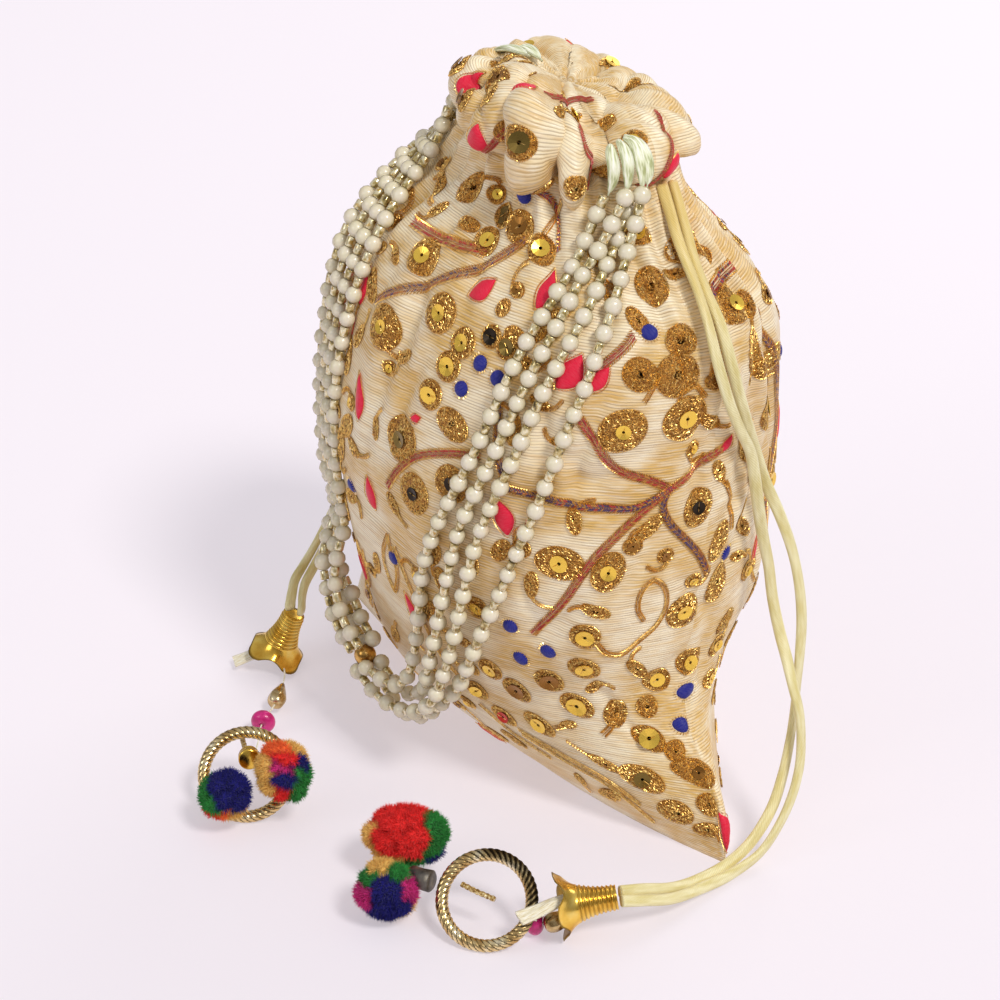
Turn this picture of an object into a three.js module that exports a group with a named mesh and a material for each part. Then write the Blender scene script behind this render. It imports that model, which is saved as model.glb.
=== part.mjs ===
// Potli bag: a stuffed drawstring pouch of embroidered raw silk, standing on its flattened bottom seam,
// with a beaded handle and two tasselled drawstrings.
// Frame: +Z up, the front faces -Y, the origin is under the middle of the pouch. Millimetres.
import * as THREE from "three";

// The stuffed body, as [height, half width, half depth] stations that a smooth curve joins.
const BODY_STATIONS = [
  [0, 88, 15],
  [12, 85.5, 27.5],
  [35, 67, 42.5],
  [75, 68, 53],
  [115, 70, 53.5],
  [150, 68.5, 43],
  [172, 43, 26],
  [185, 31, 24],
];
const BODY_HEIGHTS = [
  0, 3, 7, 12, 18, 26, 35, 46, 58, 72, 88, 102, 115, 127, 138, 148, 156, 162, 167, 172, 176, 180,
];
const SEAM_FADE_HEIGHT = 60; // the pointed bottom seam rounds out by this height
const BODY_LEAN = 0.028; // the body leans back this much for each millimetre above LEAN_PIVOT
const LEAN_PIVOT = 95;
const CORNER_SWEEP = 8; // the left corner of the seam comes forward
const BODY_SIDES = 60;
const BASE_SCALE = 0.5; // the inner ring of the flat base, as a share of the seam's outline

// The gathered frill above the drawstring channel, as [height, half width, half depth, fold, tilt].
const FRILL_RINGS = [
  [183.5, 31, 23.5, 0.4, 0],
  [183, 32, 24.6, 1.4, 0],
  [184.5, 33, 25.8, 2.2, 0.4],
  [187.5, 33.4, 26.4, 2.6, 0.8],
  [190.6, 32.4, 25.6, 2.6, 1],
  [193, 29.5, 23, 2.2, 1],
  [194.2, 25, 19.2, 1.5, 0.9],
  [194.2, 18.5, 13.6, 0.8, 0.7],
  [193, 9, 7, 0, 0.4],
];
const MOUTH_DEPTH = 0.5;
const FRILL_BACK = 2.4; // the frill's centre stands this far back
const FRILL_TILT = 0.17; // the frill is lower towards +X +Y
const TILT_X = 0.575;
const TILT_Y = 0.818;
const NEAR_FOLD = -8; // degrees: the folds where the handle is fixed
const FAR_FOLD = 196;
const FOLDS_BEHIND = 5;
const FOLDS_IN_FRONT = 4;

const STRAND_DIAMETER = 3.8; // over the beads, on average
const DRAWSTRING_DIAMETER = 2.8;
const CORD_STEP = 2.5; // cord diameters between two rings of a cord's surface
const HANDLE_BEAD = { centre: [-16.9, -52, 29.3], axis: [-0.62, 0, 0.78], radius: 3.2, length: 6 };
const LOOP_WIDTH = 9;
const LOOP_THICKNESS = 2;
const LOOP_RIGHT = [[41, -8, 184.4], [40.6, -7.5, 188], [38, -6, 191.6], [33.6, -3.6, 194.4]];
const LOOP_RIGHT_ACROSS = [-0.22, -0.97, 0];
const LOOP_LEFT = [[-37.8, 3.4, 191.4], [-33.6, 3.6, 196], [-26, 3.7, 199], [-17.5, 3.7, 199]];
const LOOP_LEFT_ACROSS = [0, 1, 0];

const BELL_PROFILE = [
  [0, 0], [3.3, 0], [3.5, 4], [4.2, 8], [5.6, 11.6], [8.4, 15],
  [7.7, 15.3], [4.9, 12], [3.6, 8.4], [2.9, 4.4], [2.5, 1.2], [0, 1.2],
];
const BELL_PETALS = 4;
const BELL_SIDES = 24;
const PETAL_START = 9;
const PETAL_REACH = 6;
const PETAL_DROP = 1.6;
const PETAL_SPREAD = 0.07;
const RING_RADIUS = 11.9;
const RING_SECTION = 1.75;
const DROP_PROFILE = [
  [0, 0], [0.7, 0.1], [1.5, 2.4], [2.4, 5.2], [2.75, 7], [2.3, 8.8], [1.1, 9.7], [0, 9.8],
];
const RONDELLE_PROFILE = [
  [0, -2.2], [2, -2.2], [3.2, -1.2], [3.6, 0], [3.2, 1.2], [2, 2.2], [0, 2.2],
];
const RIBBON_WIDTH = 4.6;
const RIBBON_THICKNESS = 0.8;
const TIE_DIAMETER = 1.5;
const CAP_RADIUS = 3;

// Routes of the beaded strands and of the drawstrings, from the mouth of the bag to their far ends.
const STRANDS_RIGHT = [
  [
    [37.7, -13.9, 180.2], [36.9, -16.9, 173], [37.5, -20.8, 166.8], [39.1, -26.2, 161.8],
    [40, -31.4, 156.5], [39.9, -36.3, 150.7], [39.2, -40, 144.4], [38.1, -42.9, 137.8],
    [36.8, -45.3, 131], [35.2, -47.2, 124.2], [33.4, -49.1, 117.4], [31.2, -50.9, 110.7],
    [28.6, -52.3, 104], [25.8, -53.6, 97.4], [22.9, -54.4, 90.8], [20.2, -54.8, 84],
    [17.7, -54.8, 77.2], [15.7, -54.4, 70.2], [14.1, -53.8, 63.1], [12.5, -53.3, 56],
    [11.1, -53.1, 48.9], [9.5, -53.1, 41.7], [7, -53.5, 34.9], [1.9, -54, 29.8],
    [-5.2, -54.3, 28.3], [-12.5, -54.6, 28.2],
  ],
  [
    [42.3, -10.3, 182], [42.6, -14.6, 175.4], [42.6, -18.6, 169.2], [42.5, -23.4, 163.3],
    [44, -28.1, 158.1], [44.9, -32.7, 152.7], [44.6, -36.5, 146.6], [43.6, -39.6, 140.3],
    [42.4, -42.2, 133.7], [41, -44.2, 127.1], [39.3, -46.1, 120.4], [37.4, -47.9, 113.7],
    [35.3, -49.6, 107.1], [32.9, -50.9, 100.5], [30.6, -52, 93.8], [28.7, -52.5, 87],
    [27.3, -53.1, 80], [25.9, -53.6, 73], [24.4, -54, 66], [22.9, -54.1, 59.1], [21.2, -54.3, 52.1],
    [19.1, -54.2, 45.3], [16.4, -53.1, 38.8], [12.3, -51.2, 33.2], [7.1, -49.8, 28.6],
    [1, -49.1, 25], [-6.1, -49.2, 25], [-12.5, -49.4, 28.2],
  ],
  [
    [40.5, -6.4, 180.3], [41.5, -10.1, 173.9], [43.5, -14.3, 168.8], [45.8, -19.2, 164.4],
    [48, -23.6, 159.7], [49.4, -28.4, 154.6], [49.6, -32.5, 148.8], [48.9, -35.9, 142.7],
    [47.7, -38.7, 136.3], [46.3, -40.9, 129.7], [44.8, -42.8, 123], [43.2, -44.6, 116.4],
    [41.3, -46.4, 109.8], [39.2, -47.9, 103.2], [37.1, -49.2, 96.6], [35, -50, 89.8],
    [33.4, -50.8, 83], [32.2, -51.4, 76], [30.8, -51.8, 69.1], [29.1, -51.9, 62.2],
    [27.2, -52, 55.4], [25.2, -52.2, 48.6], [23.2, -52.9, 41.9], [20.7, -53.7, 35.3],
    [16.2, -54, 29.8], [10.5, -54.1, 25.6], [3.9, -54.1, 23], [-3, -54.2, 21.7],
    [-10.1, -54.4, 22.3], [-16.7, -54.6, 24.8],
  ],
  [
    [44.2, -6.4, 182.4], [45.3, -9, 175.6], [46.1, -11.5, 169.9], [48.7, -15, 165.6],
    [51.6, -18.9, 161], [54.2, -23.2, 156.1], [55.9, -27.1, 150.3], [56.5, -30.2, 143.9],
    [56.1, -32.8, 137.2], [55, -35, 130.5], [53.7, -36.7, 123.7], [52.4, -38.4, 116.8],
    [51, -40.2, 110], [49.4, -41.7, 103.2], [47.4, -43.2, 96.5], [45.3, -44.4, 89.7],
    [43.1, -45.4, 83], [40.8, -46.3, 76.2], [38.3, -47.2, 69.6], [36.1, -48.4, 62.8],
    [33.7, -49.2, 56.2], [30.8, -49.4, 49.6], [27.4, -48.8, 43.3], [23.3, -48.4, 37.4],
    [18.7, -48.6, 31.9], [14, -48.6, 26.5], [8.8, -48.5, 21.6], [2.6, -48.6, 18],
    [-4.6, -48.7, 17.4], [-11, -49, 20.4], [-16.7, -49.4, 24.8],
  ],
];
const STRANDS_LEFT = [
  [
    [-17, -54.6, 33.8], [-23.1, -54.8, 37.7], [-28, -54.2, 43.1], [-30.4, -53.4, 49.9],
    [-31.5, -51.3, 56.8], [-32.5, -48.7, 63.5], [-33, -49.3, 70.8], [-33.1, -50.3, 78],
    [-33.1, -50.7, 85.2], [-33.1, -50.9, 92.5], [-33.1, -51, 99.8], [-32.9, -50.6, 107.1],
    [-32.5, -49.9, 114.3], [-31.8, -49, 121.5], [-30.7, -48, 128.6], [-29.6, -46.5, 135.7],
    [-28.8, -44.3, 142.6], [-28.4, -41.3, 149.2], [-28.9, -37.2, 155.2], [-30, -32.1, 160.3],
    [-31, -26.7, 165.1], [-31.5, -21.3, 170], [-32.1, -16.9, 175.6], [-32, -14.6, 181.4],
  ],
  [
    [-17, -49.4, 33.8], [-23.1, -49.3, 37.5], [-28.3, -48.8, 42.4], [-32.7, -49.4, 47.9],
    [-36, -49.9, 54.2], [-37.4, -47.6, 60.8], [-38, -47, 67.9], [-38.3, -48.7, 74.8],
    [-38.3, -49.2, 81.9], [-38.3, -49.5, 89], [-38.3, -49.7, 96.2], [-38.3, -49.5, 103.3],
    [-38, -49.1, 110.4], [-37.5, -48.5, 117.5], [-36.7, -47.7, 124.5], [-35.6, -46.7, 131.5],
    [-34.6, -45.2, 138.4], [-33.9, -42.8, 145.1], [-33.8, -39.5, 151.4], [-34.3, -34.9, 156.8],
    [-35.2, -29.6, 161.5], [-35.9, -24.1, 165.9], [-36.2, -18.5, 170.4], [-35.9, -13.6, 175.6],
    [-35.2, -10.2, 182.4],
  ],
  [
    [-21.2, -54.6, 30.4], [-27.2, -54.6, 34.2], [-31.9, -54.2, 39.6], [-35.8, -53.4, 45.5],
    [-39.3, -51.8, 51.5], [-41.6, -48.2, 57.2], [-42.5, -44.8, 63.4], [-43.3, -45.8, 70.4],
    [-43.6, -47.3, 77.4], [-43.5, -47.6, 84.5], [-43.5, -47.9, 91.6], [-43.6, -48, 98.7],
    [-43.5, -47.8, 105.9], [-43.1, -47.3, 113], [-42.6, -46.8, 120.1], [-41.6, -46.1, 127.1],
    [-40.6, -45.2, 134.1], [-39.6, -43.5, 140.9], [-39.1, -40.9, 147.5], [-39, -37, 153.5],
    [-39.6, -32, 158.6], [-40.3, -26.4, 162.8], [-40.6, -20.5, 166.9], [-40.4, -14.6, 171],
    [-39.2, -9.4, 175.6], [-37, -6.2, 181.2], [-37.4, -4.6, 187],
  ],
  [
    [-21.2, -49.4, 30.4], [-27.7, -49.3, 33.7], [-33.1, -48.5, 38.6], [-37.8, -48, 44.2],
    [-42.2, -47.9, 50.1], [-45.5, -45.9, 56.2], [-47.2, -42.7, 62.5], [-48.4, -43.3, 69.7],
    [-48.7, -45.1, 76.7], [-48.7, -45.5, 84.1], [-48.7, -45.9, 91.4], [-48.8, -46, 98.7],
    [-48.7, -45.7, 106], [-48.3, -45.4, 113.3], [-47.7, -44.9, 120.5], [-46.9, -44.4, 127.8],
    [-45.8, -43.6, 135], [-44.9, -41.9, 142], [-44.4, -39.1, 148.8], [-44.3, -34.8, 154.7],
    [-44.7, -29.3, 159.5], [-45, -23.2, 163.6], [-45, -17, 167.4], [-44.1, -10.7, 171],
    [-42.3, -4.9, 175], [-39.8, -1.5, 181.3], [-39, 1, 188.6],
  ],
];
const DRAWSTRINGS_RIGHT = [
  [
    [37.6, 5.2, 180], [40.6, 4.4, 177.4], [43.6, 3.5, 175], [48.5, 1.8, 171.4], [54.5, 0.2, 167.2],
    [61.5, -1.2, 162], [68.3, -2.6, 155.6], [73, -3, 147.5], [75.2, -0.2, 136], [74.6, 4.6, 126],
    [72.8, 10.3, 116.5], [71.9, 13, 108], [71.4, 15, 100], [70.6, 18, 89], [70.6, 21, 78],
    [72, 22, 68], [75.2, 22.3, 59.5], [79.8, 21.8, 52.5], [84, 20.9, 46.6], [86.8, 21.3, 39.5],
    [88.6, 21, 32], [90.5, 19.4, 25], [92.3, 16, 18], [93.4, 11.2, 11], [94, 4.6, 4.6],
    [94.9, -5.6, 2.3], [96.9, -19.1, 3.6], [99.3, -30.7, 6.7], [99.5, -39.8, 10.1],
    [98.5, -46.4, 12],
  ],
  [
    [36.6, 9.4, 179.8], [39.4, 8.7, 177.2], [42.5, 7.7, 174.6], [47.7, 5.8, 170.9], [54, 3.6, 166],
    [61, 2.2, 160.5], [68.2, 1.4, 154.4], [73, 2, 144.5], [74, 4.9, 134], [72.4, 9.2, 124.5],
    [69.9, 14.5, 114], [69.8, 18.6, 104], [72.4, 22.2, 94], [75.2, 24.8, 84], [77.4, 26.2, 74],
    [79, 26.6, 64], [80, 26, 54], [80.8, 25, 44], [82.4, 23.2, 36], [84.2, 20.8, 28.5],
    [86.2, 17.4, 20.5], [88.4, 12.2, 12.5], [90.1, 4, 5.6], [91.5, -5.4, 2.8], [93.4, -17.6, 3.7],
    [95.6, -27.9, 6.9], [96, -37.2, 10.5], [95.5, -44.7, 12.5],
  ],
];
const DRAWSTRINGS_LEFT = [
  [
    [-38.1, 3.3, 180.6], [-41.9, 2.7, 175.9], [-47.7, 1.6, 170.5], [-58.1, -0.1, 162.6],
    [-70.4, -2.4, 151], [-74.6, -4.6, 138], [-73.4, -6.7, 124.7], [-72.2, -8.8, 112],
    [-71.4, -10.8, 99], [-70.4, -13, 87], [-69.4, -15.9, 76], [-69, -19, 66], [-70, -22.3, 56.9],
    [-71.9, -26.2, 47.5], [-72.4, -30.5, 39.5], [-71.7, -35.1, 33.4], [-71.5, -39.7, 27.6],
    [-69.1, -43.8, 25.6], [-65, -47.3, 24.3], [-62.4, -49.5, 22.9], [-63.2, -49.2, 20.7],
  ],
  [
    [-37.6, 7.3, 180.5], [-41.4, 6.7, 175.8], [-47.4, 5.4, 170.5], [-58.1, 3.7, 162.6],
    [-70.6, 1.2, 151], [-74.8, -1.1, 138], [-74, -3.3, 124.7], [-72.9, -5.4, 112], [-72, -7.4, 99],
    [-71.2, -9.6, 87], [-70.5, -12.5, 76], [-70, -15.8, 66], [-70.3, -19.1, 56.9],
    [-71.4, -23, 47.4], [-71.4, -27.5, 39.2], [-70.4, -32.4, 32.9], [-69.8, -37.1, 26.9],
    [-67, -41.5, 24.7], [-62.9, -45.1, 23.2], [-60.1, -47, 21.6], [-60.9, -46.9, 19.3],
  ],
];

// The two tassels. A ring's turn is its horizontal diameter's direction, in degrees.
const TASSELS = {
  right: {
    bell: { narrow: [96.5, -46.4, 12.1], mouth: [89.1, -58.4, 9.6] },
    ribbon: [[90.3, -56.7, 12.2], [89.6, -61.1, 12], [89.2, -66.5, 11.4], [88.3, -71.9, 10.6]],
    ribbonAcross: [0.8, 0.6, 0],
    drop: { tip: [91.4, -54.8, 7.4], end: [88.4, -61.8, 4.9] },
    rondelle: { centre: [84.6, -64, 4], axis: [-0.7, -0.7, -0.1] },
    ring: { centre: [76.9, -74.2, 10.5], turn: 45, tilt: 47 },
    tie: [[69.6, -77.2, 12.4], [73.6, -75.4, 11.8], [78.6, -72.8, 11.2]],
    cap: { from: [64.6, -83.2, 12.6], to: [58.8, -86.2, 12] },
    pompoms: [
      { centre: [44.7, -77.9, 13.4], size: [12, 9.5, 9] },
      { centre: [57.4, -95.8, 9], size: [8, 7.4, 7.4] },
    ],
  },
  left: {
    bell: { narrow: [-62.4, -48.4, 18.6], mouth: [-66.4, -52.2, 5.2] },
    ribbon: [[-66.3, -53.3, 7], [-68.6, -56.1, 5.2], [-70.2, -60.1, 3.6], [-71.8, -64.1, 2.2]],
    ribbonAcross: [1, 0, 0],
    drop: { tip: [-49.2, -60.6, 5], end: [-42.5, -67.4, 4] },
    rondelle: { centre: [-36.2, -75, 4.4], axis: [0.7, -0.7, 0] },
    ring: { centre: [-8.3, -96.8, 10.2], turn: 54.9, tilt: 45 },
    tie: [[-19.5, -91.4, 13.6], [-16.6, -92.6, 13.9], [-13.2, -94, 14.1]],
    cap: { from: [-11.6, -94, 14.6], to: [-6.8, -96.6, 15.8] },
    pompoms: [
      { centre: [-1.4, -108, 11.2], size: [7.4, 7, 7.2] },
      { centre: [5, -92.6, 17.4], size: [8.4, 7.8, 9.4] },
    ],
  },
};

const vector = (point) => new THREE.Vector3(...point);

// Value of one station column at a height, on a cubic curve through the stations.
function stationValue(height, column) {
  const last = BODY_STATIONS.length - 1;
  const slope = (i) => {
    const [a, b] = [BODY_STATIONS[i], BODY_STATIONS[i + 1]];
    return (b[column] - a[column]) / (b[0] - a[0]);
  };
  const tangent = (i) => {
    if (i === 0) return slope(0);
    if (i === last) return slope(last - 1);
    return (slope(i - 1) + slope(i)) / 2;
  };
  let i = 0;
  while (i < last - 1 && height >= BODY_STATIONS[i + 1][0]) i += 1;
  const [from, to] = [BODY_STATIONS[i], BODY_STATIONS[i + 1]];
  const span = to[0] - from[0];
  const t = (height - from[0]) / span;
  const rise = (2 * t ** 3 - 3 * t ** 2 + 1) * from[column] + (3 * t ** 2 - 2 * t ** 3) * to[column];
  return rise + (t ** 3 - 2 * t ** 2 + t) * span * tangent(i) + (t ** 3 - t ** 2) * span * tangent(i + 1);
}

// A point of the stuffed body: a pointed lens at the bottom seam that turns into an oval higher up.
function bodyPoint(angle, height, scale = 1) {
  const seam = THREE.MathUtils.clamp(1 - height / SEAM_FADE_HEIGHT, 0, 1);
  const halfWidth = stationValue(height, 1);
  const x = scale * halfWidth * Math.cos(angle);
  const sine = Math.sin(angle);
  const depth = scale * stationValue(height, 2) * sine * Math.abs(sine) ** seam;
  const sweep = CORNER_SWEEP * (Math.max(0, -x) / BODY_STATIONS[0][1]) ** 2 * seam;
  return new THREE.Vector3(x, depth + BODY_LEAN * (height - LEAN_PIVOT) - sweep, height);
}

// How far a fold stands out at an angle, from -1 in a valley to 1 on a crest.
function foldAt(angle) {
  let degrees = THREE.MathUtils.euclideanModulo(THREE.MathUtils.radToDeg(angle), 360);
  if (degrees >= 360 + NEAR_FOLD) degrees -= 360;
  const behind = FAR_FOLD - NEAR_FOLD;
  const turns = degrees < FAR_FOLD
    ? FOLDS_BEHIND * (degrees - NEAR_FOLD) / behind
    : FOLDS_IN_FRONT * (degrees - FAR_FOLD) / (360 - behind);
  return -Math.cos(2 * Math.PI * turns);
}

function frillPoint(angle, [height, halfWidth, halfDepth, fold, tilt]) {
  const swell = 1 + fold * foldAt(angle) / halfWidth;
  const x = halfWidth * swell * Math.cos(angle);
  const y = halfDepth * swell * Math.sin(angle) + FRILL_BACK;
  const drop = FRILL_TILT * tilt * (TILT_X * x + TILT_Y * y);
  return new THREE.Vector3(x, y, height - drop);
}

// A closed body through rings of points, capped at a point at each end. The rings run anticlockwise
// seen from the last one.
function loft(rings, firstCap, lastCap) {
  const sides = rings[0].length;
  const points = [...rings.flat(), firstCap, lastCap];
  const first = points.length - 2;
  const last = points.length - 1;
  const faces = [];
  for (let side = 0; side < sides; side += 1) {
    const next = (side + 1) % sides;
    faces.push(first, next, side);
    for (let ring = 0; ring < rings.length - 1; ring += 1) {
      const low = ring * sides;
      const high = low + sides;
      faces.push(low + side, low + next, high + next);
      faces.push(low + side, high + next, high + side);
    }
    const top = (rings.length - 1) * sides;
    faces.push(last, top + side, top + next);
  }
  const geometry = new THREE.BufferGeometry();
  const numbers = points.flatMap((point) => point.toArray());
  geometry.setAttribute("position", new THREE.Float32BufferAttribute(numbers, 3));
  geometry.setIndex(faces);
  geometry.computeVertexNormals();
  return geometry;
}

function named(name, geometry, colour, roughness, metalness = 0) {
  const material = new THREE.MeshStandardMaterial({ color: colour, roughness, metalness });
  const mesh = new THREE.Mesh(geometry, material);
  mesh.name = name;
  return mesh;
}

// The mesh's +Y is turned to a direction, and its origin put at a point.
function place(mesh, origin, direction) {
  mesh.position.copy(vector(origin));
  mesh.quaternion.setFromUnitVectors(new THREE.Vector3(0, 1, 0), vector(direction).normalize());
  return mesh;
}

function turned(profile, sides) {
  return new THREE.LatheGeometry(profile.map(([radius, along]) => new THREE.Vector2(radius, along)), sides);
}

// A tube of the cord's own length along its route, with a step every two and a half diameters.
function cordTube(route, diameter) {
  const curve = new THREE.CatmullRomCurve3(route.map(vector), false, "centripetal");
  const section = new THREE.Shape();
  const sides = 8;
  for (let side = 0; side < sides; side += 1) {
    const angle = 2 * Math.PI * side / sides;
    const [x, y] = [diameter / 2 * Math.cos(angle), diameter / 2 * Math.sin(angle)];
    if (side === 0) section.moveTo(x, y);
    else section.lineTo(x, y);
  }
  section.closePath();
  const steps = Math.max(3, Math.round(curve.getLength() / (CORD_STEP * diameter)));
  return new THREE.ExtrudeGeometry(section, { steps, bevelEnabled: false, extrudePath: curve });
}

// A flat strip of cloth along a route, its width along a fixed sideways direction.
function strip(route, width, thickness, sideways) {
  const curve = new THREE.CatmullRomCurve3(route.map(vector), false, "centripetal");
  const across = vector(sideways).normalize().multiplyScalar(width / 2);
  const steps = 3 * (route.length - 1);
  const rings = [];
  for (let step = 0; step <= steps; step += 1) {
    const centre = curve.getPointAt(step / steps);
    const out = new THREE.Vector3().crossVectors(curve.getTangentAt(step / steps), across);
    out.normalize().multiplyScalar(thickness / 2);
    rings.push([[1, 1], [-1, 1], [-1, -1], [1, -1]].map(
      ([a, b]) => centre.clone().addScaledVector(across, a).addScaledVector(out, b),
    ));
  }
  return loft(rings, curve.getPointAt(0), curve.getPointAt(1));
}

function pouch() {
  const angles = Array.from({ length: BODY_SIDES }, (_, side) => 2 * Math.PI * side / BODY_SIDES);
  const base = angles.map((angle) => bodyPoint(angle, 0, BASE_SCALE));
  const body = BODY_HEIGHTS.map((height) => angles.map((angle) => bodyPoint(angle, height)));
  const frill = FRILL_RINGS.map((ring) => angles.map((angle) => frillPoint(angle, ring)));
  const mouth = FRILL_RINGS[FRILL_RINGS.length - 1];
  const rings = [base, ...body, ...frill];
  const lastCap = new THREE.Vector3(0, FRILL_BACK, mouth[0] - MOUTH_DEPTH);
  return named("pouch", loft(rings, bodyPoint(0, 0, 0), lastCap), 0xe0c890, 0.6);
}

function handle() {
  const pieces = [];
  STRANDS_RIGHT.forEach((route, i) => {
    pieces.push(named(`strand_right_${i + 1}`, cordTube(route, STRAND_DIAMETER), 0xe8e2d0, 0.35));
  });
  STRANDS_LEFT.forEach((route, i) => {
    pieces.push(named(`strand_left_${i + 1}`, cordTube(route, STRAND_DIAMETER), 0xe8e2d0, 0.35));
  });
  const { centre, axis, radius, length } = HANDLE_BEAD;
  const profile = [];
  const rows = 8;
  for (let row = 0; row <= rows; row += 1) {
    const angle = Math.PI * row / rows;
    profile.push([row % rows ? radius * Math.sin(angle) : 0, -length / 2 * Math.cos(angle)]);
  }
  pieces.push(place(named("handle_bead", turned(profile, 16), 0xc9a14a, 0.25, 1), centre, axis));
  return pieces;
}

// The satin loops lie over the outside of the frill, in the folds that hold the handle.
function handleLoops() {
  return [
    ["right", LOOP_RIGHT, LOOP_RIGHT_ACROSS],
    ["left", LOOP_LEFT, LOOP_LEFT_ACROSS],
  ].map(([side, route, across]) => (
    named(`handle_loop_${side}`, strip(route, LOOP_WIDTH, LOOP_THICKNESS, across), 0xf0ecd8, 0.4)
  ));
}

function drawstrings() {
  const colour = 0xe8dca0;
  return [
    ...DRAWSTRINGS_RIGHT.map((route, i) => (
      named(`drawstring_right_${i + 1}`, cordTube(route, DRAWSTRING_DIAMETER), colour, 0.35))),
    ...DRAWSTRINGS_LEFT.map((route, i) => (
      named(`drawstring_left_${i + 1}`, cordTube(route, DRAWSTRING_DIAMETER), colour, 0.35))),
  ];
}

// A pressed brass bell whose rim is drawn out into petals.
function bellCap(side, { narrow, mouth }) {
  const geometry = turned(BELL_PROFILE, BELL_SIDES);
  const position = geometry.attributes.position;
  for (let i = 0; i < position.count; i += 1) {
    const [x, y, z] = [position.getX(i), position.getY(i), position.getZ(i)];
    const reach = THREE.MathUtils.clamp((y - PETAL_START) / PETAL_REACH, 0, 1.1) ** 2;
    const petal = Math.cos(BELL_PETALS * Math.atan2(z, x)) * reach;
    const spread = 1 + PETAL_SPREAD * petal;
    position.setXYZ(i, x * spread, y + PETAL_DROP * petal, z * spread);
  }
  const axis = vector(mouth).sub(vector(narrow)).toArray();
  return place(named(`bell_cap_${side}`, geometry, 0xc8a040, 0.3, 1), narrow, axis);
}

function ring(side, { centre, turn, tilt }) {
  const geometry = new THREE.TorusGeometry(RING_RADIUS, RING_SECTION, 10, 44);
  const mesh = named(`ring_${side}`, geometry, 0xd8c088, 0.3, 1);
  mesh.position.copy(vector(centre));
  mesh.rotation.set(THREE.MathUtils.degToRad(tilt), 0, THREE.MathUtils.degToRad(turn), "ZXY");
  return mesh;
}

function rod(name, from, to, radius, colour) {
  const axis = vector(to).sub(vector(from));
  const mesh = named(name, new THREE.CylinderGeometry(radius, radius, axis.length(), 16), colour, 0.4, 1);
  const middle = vector(from).add(vector(to)).multiplyScalar(0.5);
  return place(mesh, middle.toArray(), axis.toArray());
}

function pompom(name, { centre, size }, turn) {
  const mesh = named(name, new THREE.SphereGeometry(1, 14, 10), 0xb02838, 0.9);
  mesh.position.copy(vector(centre));
  mesh.rotation.z = THREE.MathUtils.degToRad(turn);
  mesh.scale.set(...size);
  return mesh;
}

function tassel(side) {
  const spec = TASSELS[side];
  const dropAxis = vector(spec.drop.end).sub(vector(spec.drop.tip)).toArray();
  const drop = named(`drop_bead_${side}`, turned(DROP_PROFILE, 14), 0xb09468, 0.3, 1);
  const rondelle = named(`rondelle_bead_${side}`, turned(RONDELLE_PROFILE, 14), 0xb01868, 0.3);
  const ribbon = strip(spec.ribbon, RIBBON_WIDTH, RIBBON_THICKNESS, spec.ribbonAcross);
  const pieces = [
    bellCap(side, spec.bell),
    named(`ribbon_tail_${side}`, ribbon, 0xf0ead0, 0.5),
    place(drop, spec.drop.tip, dropAxis),
    place(rondelle, spec.rondelle.centre, spec.rondelle.axis),
    ring(side, spec.ring),
    named(`tie_${side}`, cordTube(spec.tie, TIE_DIAMETER), 0xc8b078, 0.4, 1),
    rod(`cap_bead_${side}`, spec.cap.from, spec.cap.to, CAP_RADIUS, 0x80786a),
  ];
  spec.pompoms.forEach((lobe, i) => pieces.push(pompom(`pompom_${side}_${i + 1}`, lobe, spec.ring.turn)));
  return pieces;
}

const bag = new THREE.Group();
bag.add(pouch(), ...handle(), ...handleLoops(), ...drawstrings(), ...tassel("right"), ...tassel("left"));

export default bag;
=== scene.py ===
import math

import bpy
import numpy as np
from mathutils import Matrix, Vector


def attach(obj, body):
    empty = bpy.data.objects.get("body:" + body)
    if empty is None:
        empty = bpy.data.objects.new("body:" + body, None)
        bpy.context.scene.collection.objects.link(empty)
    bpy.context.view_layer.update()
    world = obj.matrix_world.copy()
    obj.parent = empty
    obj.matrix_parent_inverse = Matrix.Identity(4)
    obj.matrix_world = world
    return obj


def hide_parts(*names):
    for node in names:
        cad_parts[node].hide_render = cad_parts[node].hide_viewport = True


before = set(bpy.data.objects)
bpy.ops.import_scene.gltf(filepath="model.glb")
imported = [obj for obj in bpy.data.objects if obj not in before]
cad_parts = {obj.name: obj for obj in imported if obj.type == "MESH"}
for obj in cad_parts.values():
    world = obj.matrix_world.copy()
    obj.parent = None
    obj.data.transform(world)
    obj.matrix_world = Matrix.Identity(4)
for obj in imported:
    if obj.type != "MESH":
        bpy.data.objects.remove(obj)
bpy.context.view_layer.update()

MM = 0.001

# --- The studio -----------------------------------------------------------------------------------
# The bag stands on a pale seamless floor in soft, high studio light. The camera looks down on its
# front right corner, where the beaded handle, both pairs of cords and both tassels are in sight.
AZIMUTH, ELEVATION, ROLL = np.radians([54.86, 29.13, 0.84])
CAMERA_PLACE = (0.5873, -0.4311, 0.4774)
LENS, SENSOR = 106.16, 36
FLOOR_HALF = 5.0
KEY_AZIMUTH, KEY_ELEVATION = np.radians([92, 52])
LAMP_DISTANCE, LAMP_AIM = 1.2, np.array([0, 0, 0.08])
# name, azimuth, elevation, power, size
LAMPS = (("fill_light", -5, 28, 1.5, 0.4), ("rim_light", 200, 40, 4, 0.6))


def outward(azimuth, elevation):
    """The direction from the bag towards a camera or lamp at these angles."""
    level = math.cos(elevation)
    return np.array([math.sin(azimuth) * level, -math.cos(azimuth) * level, math.sin(elevation)])


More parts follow.
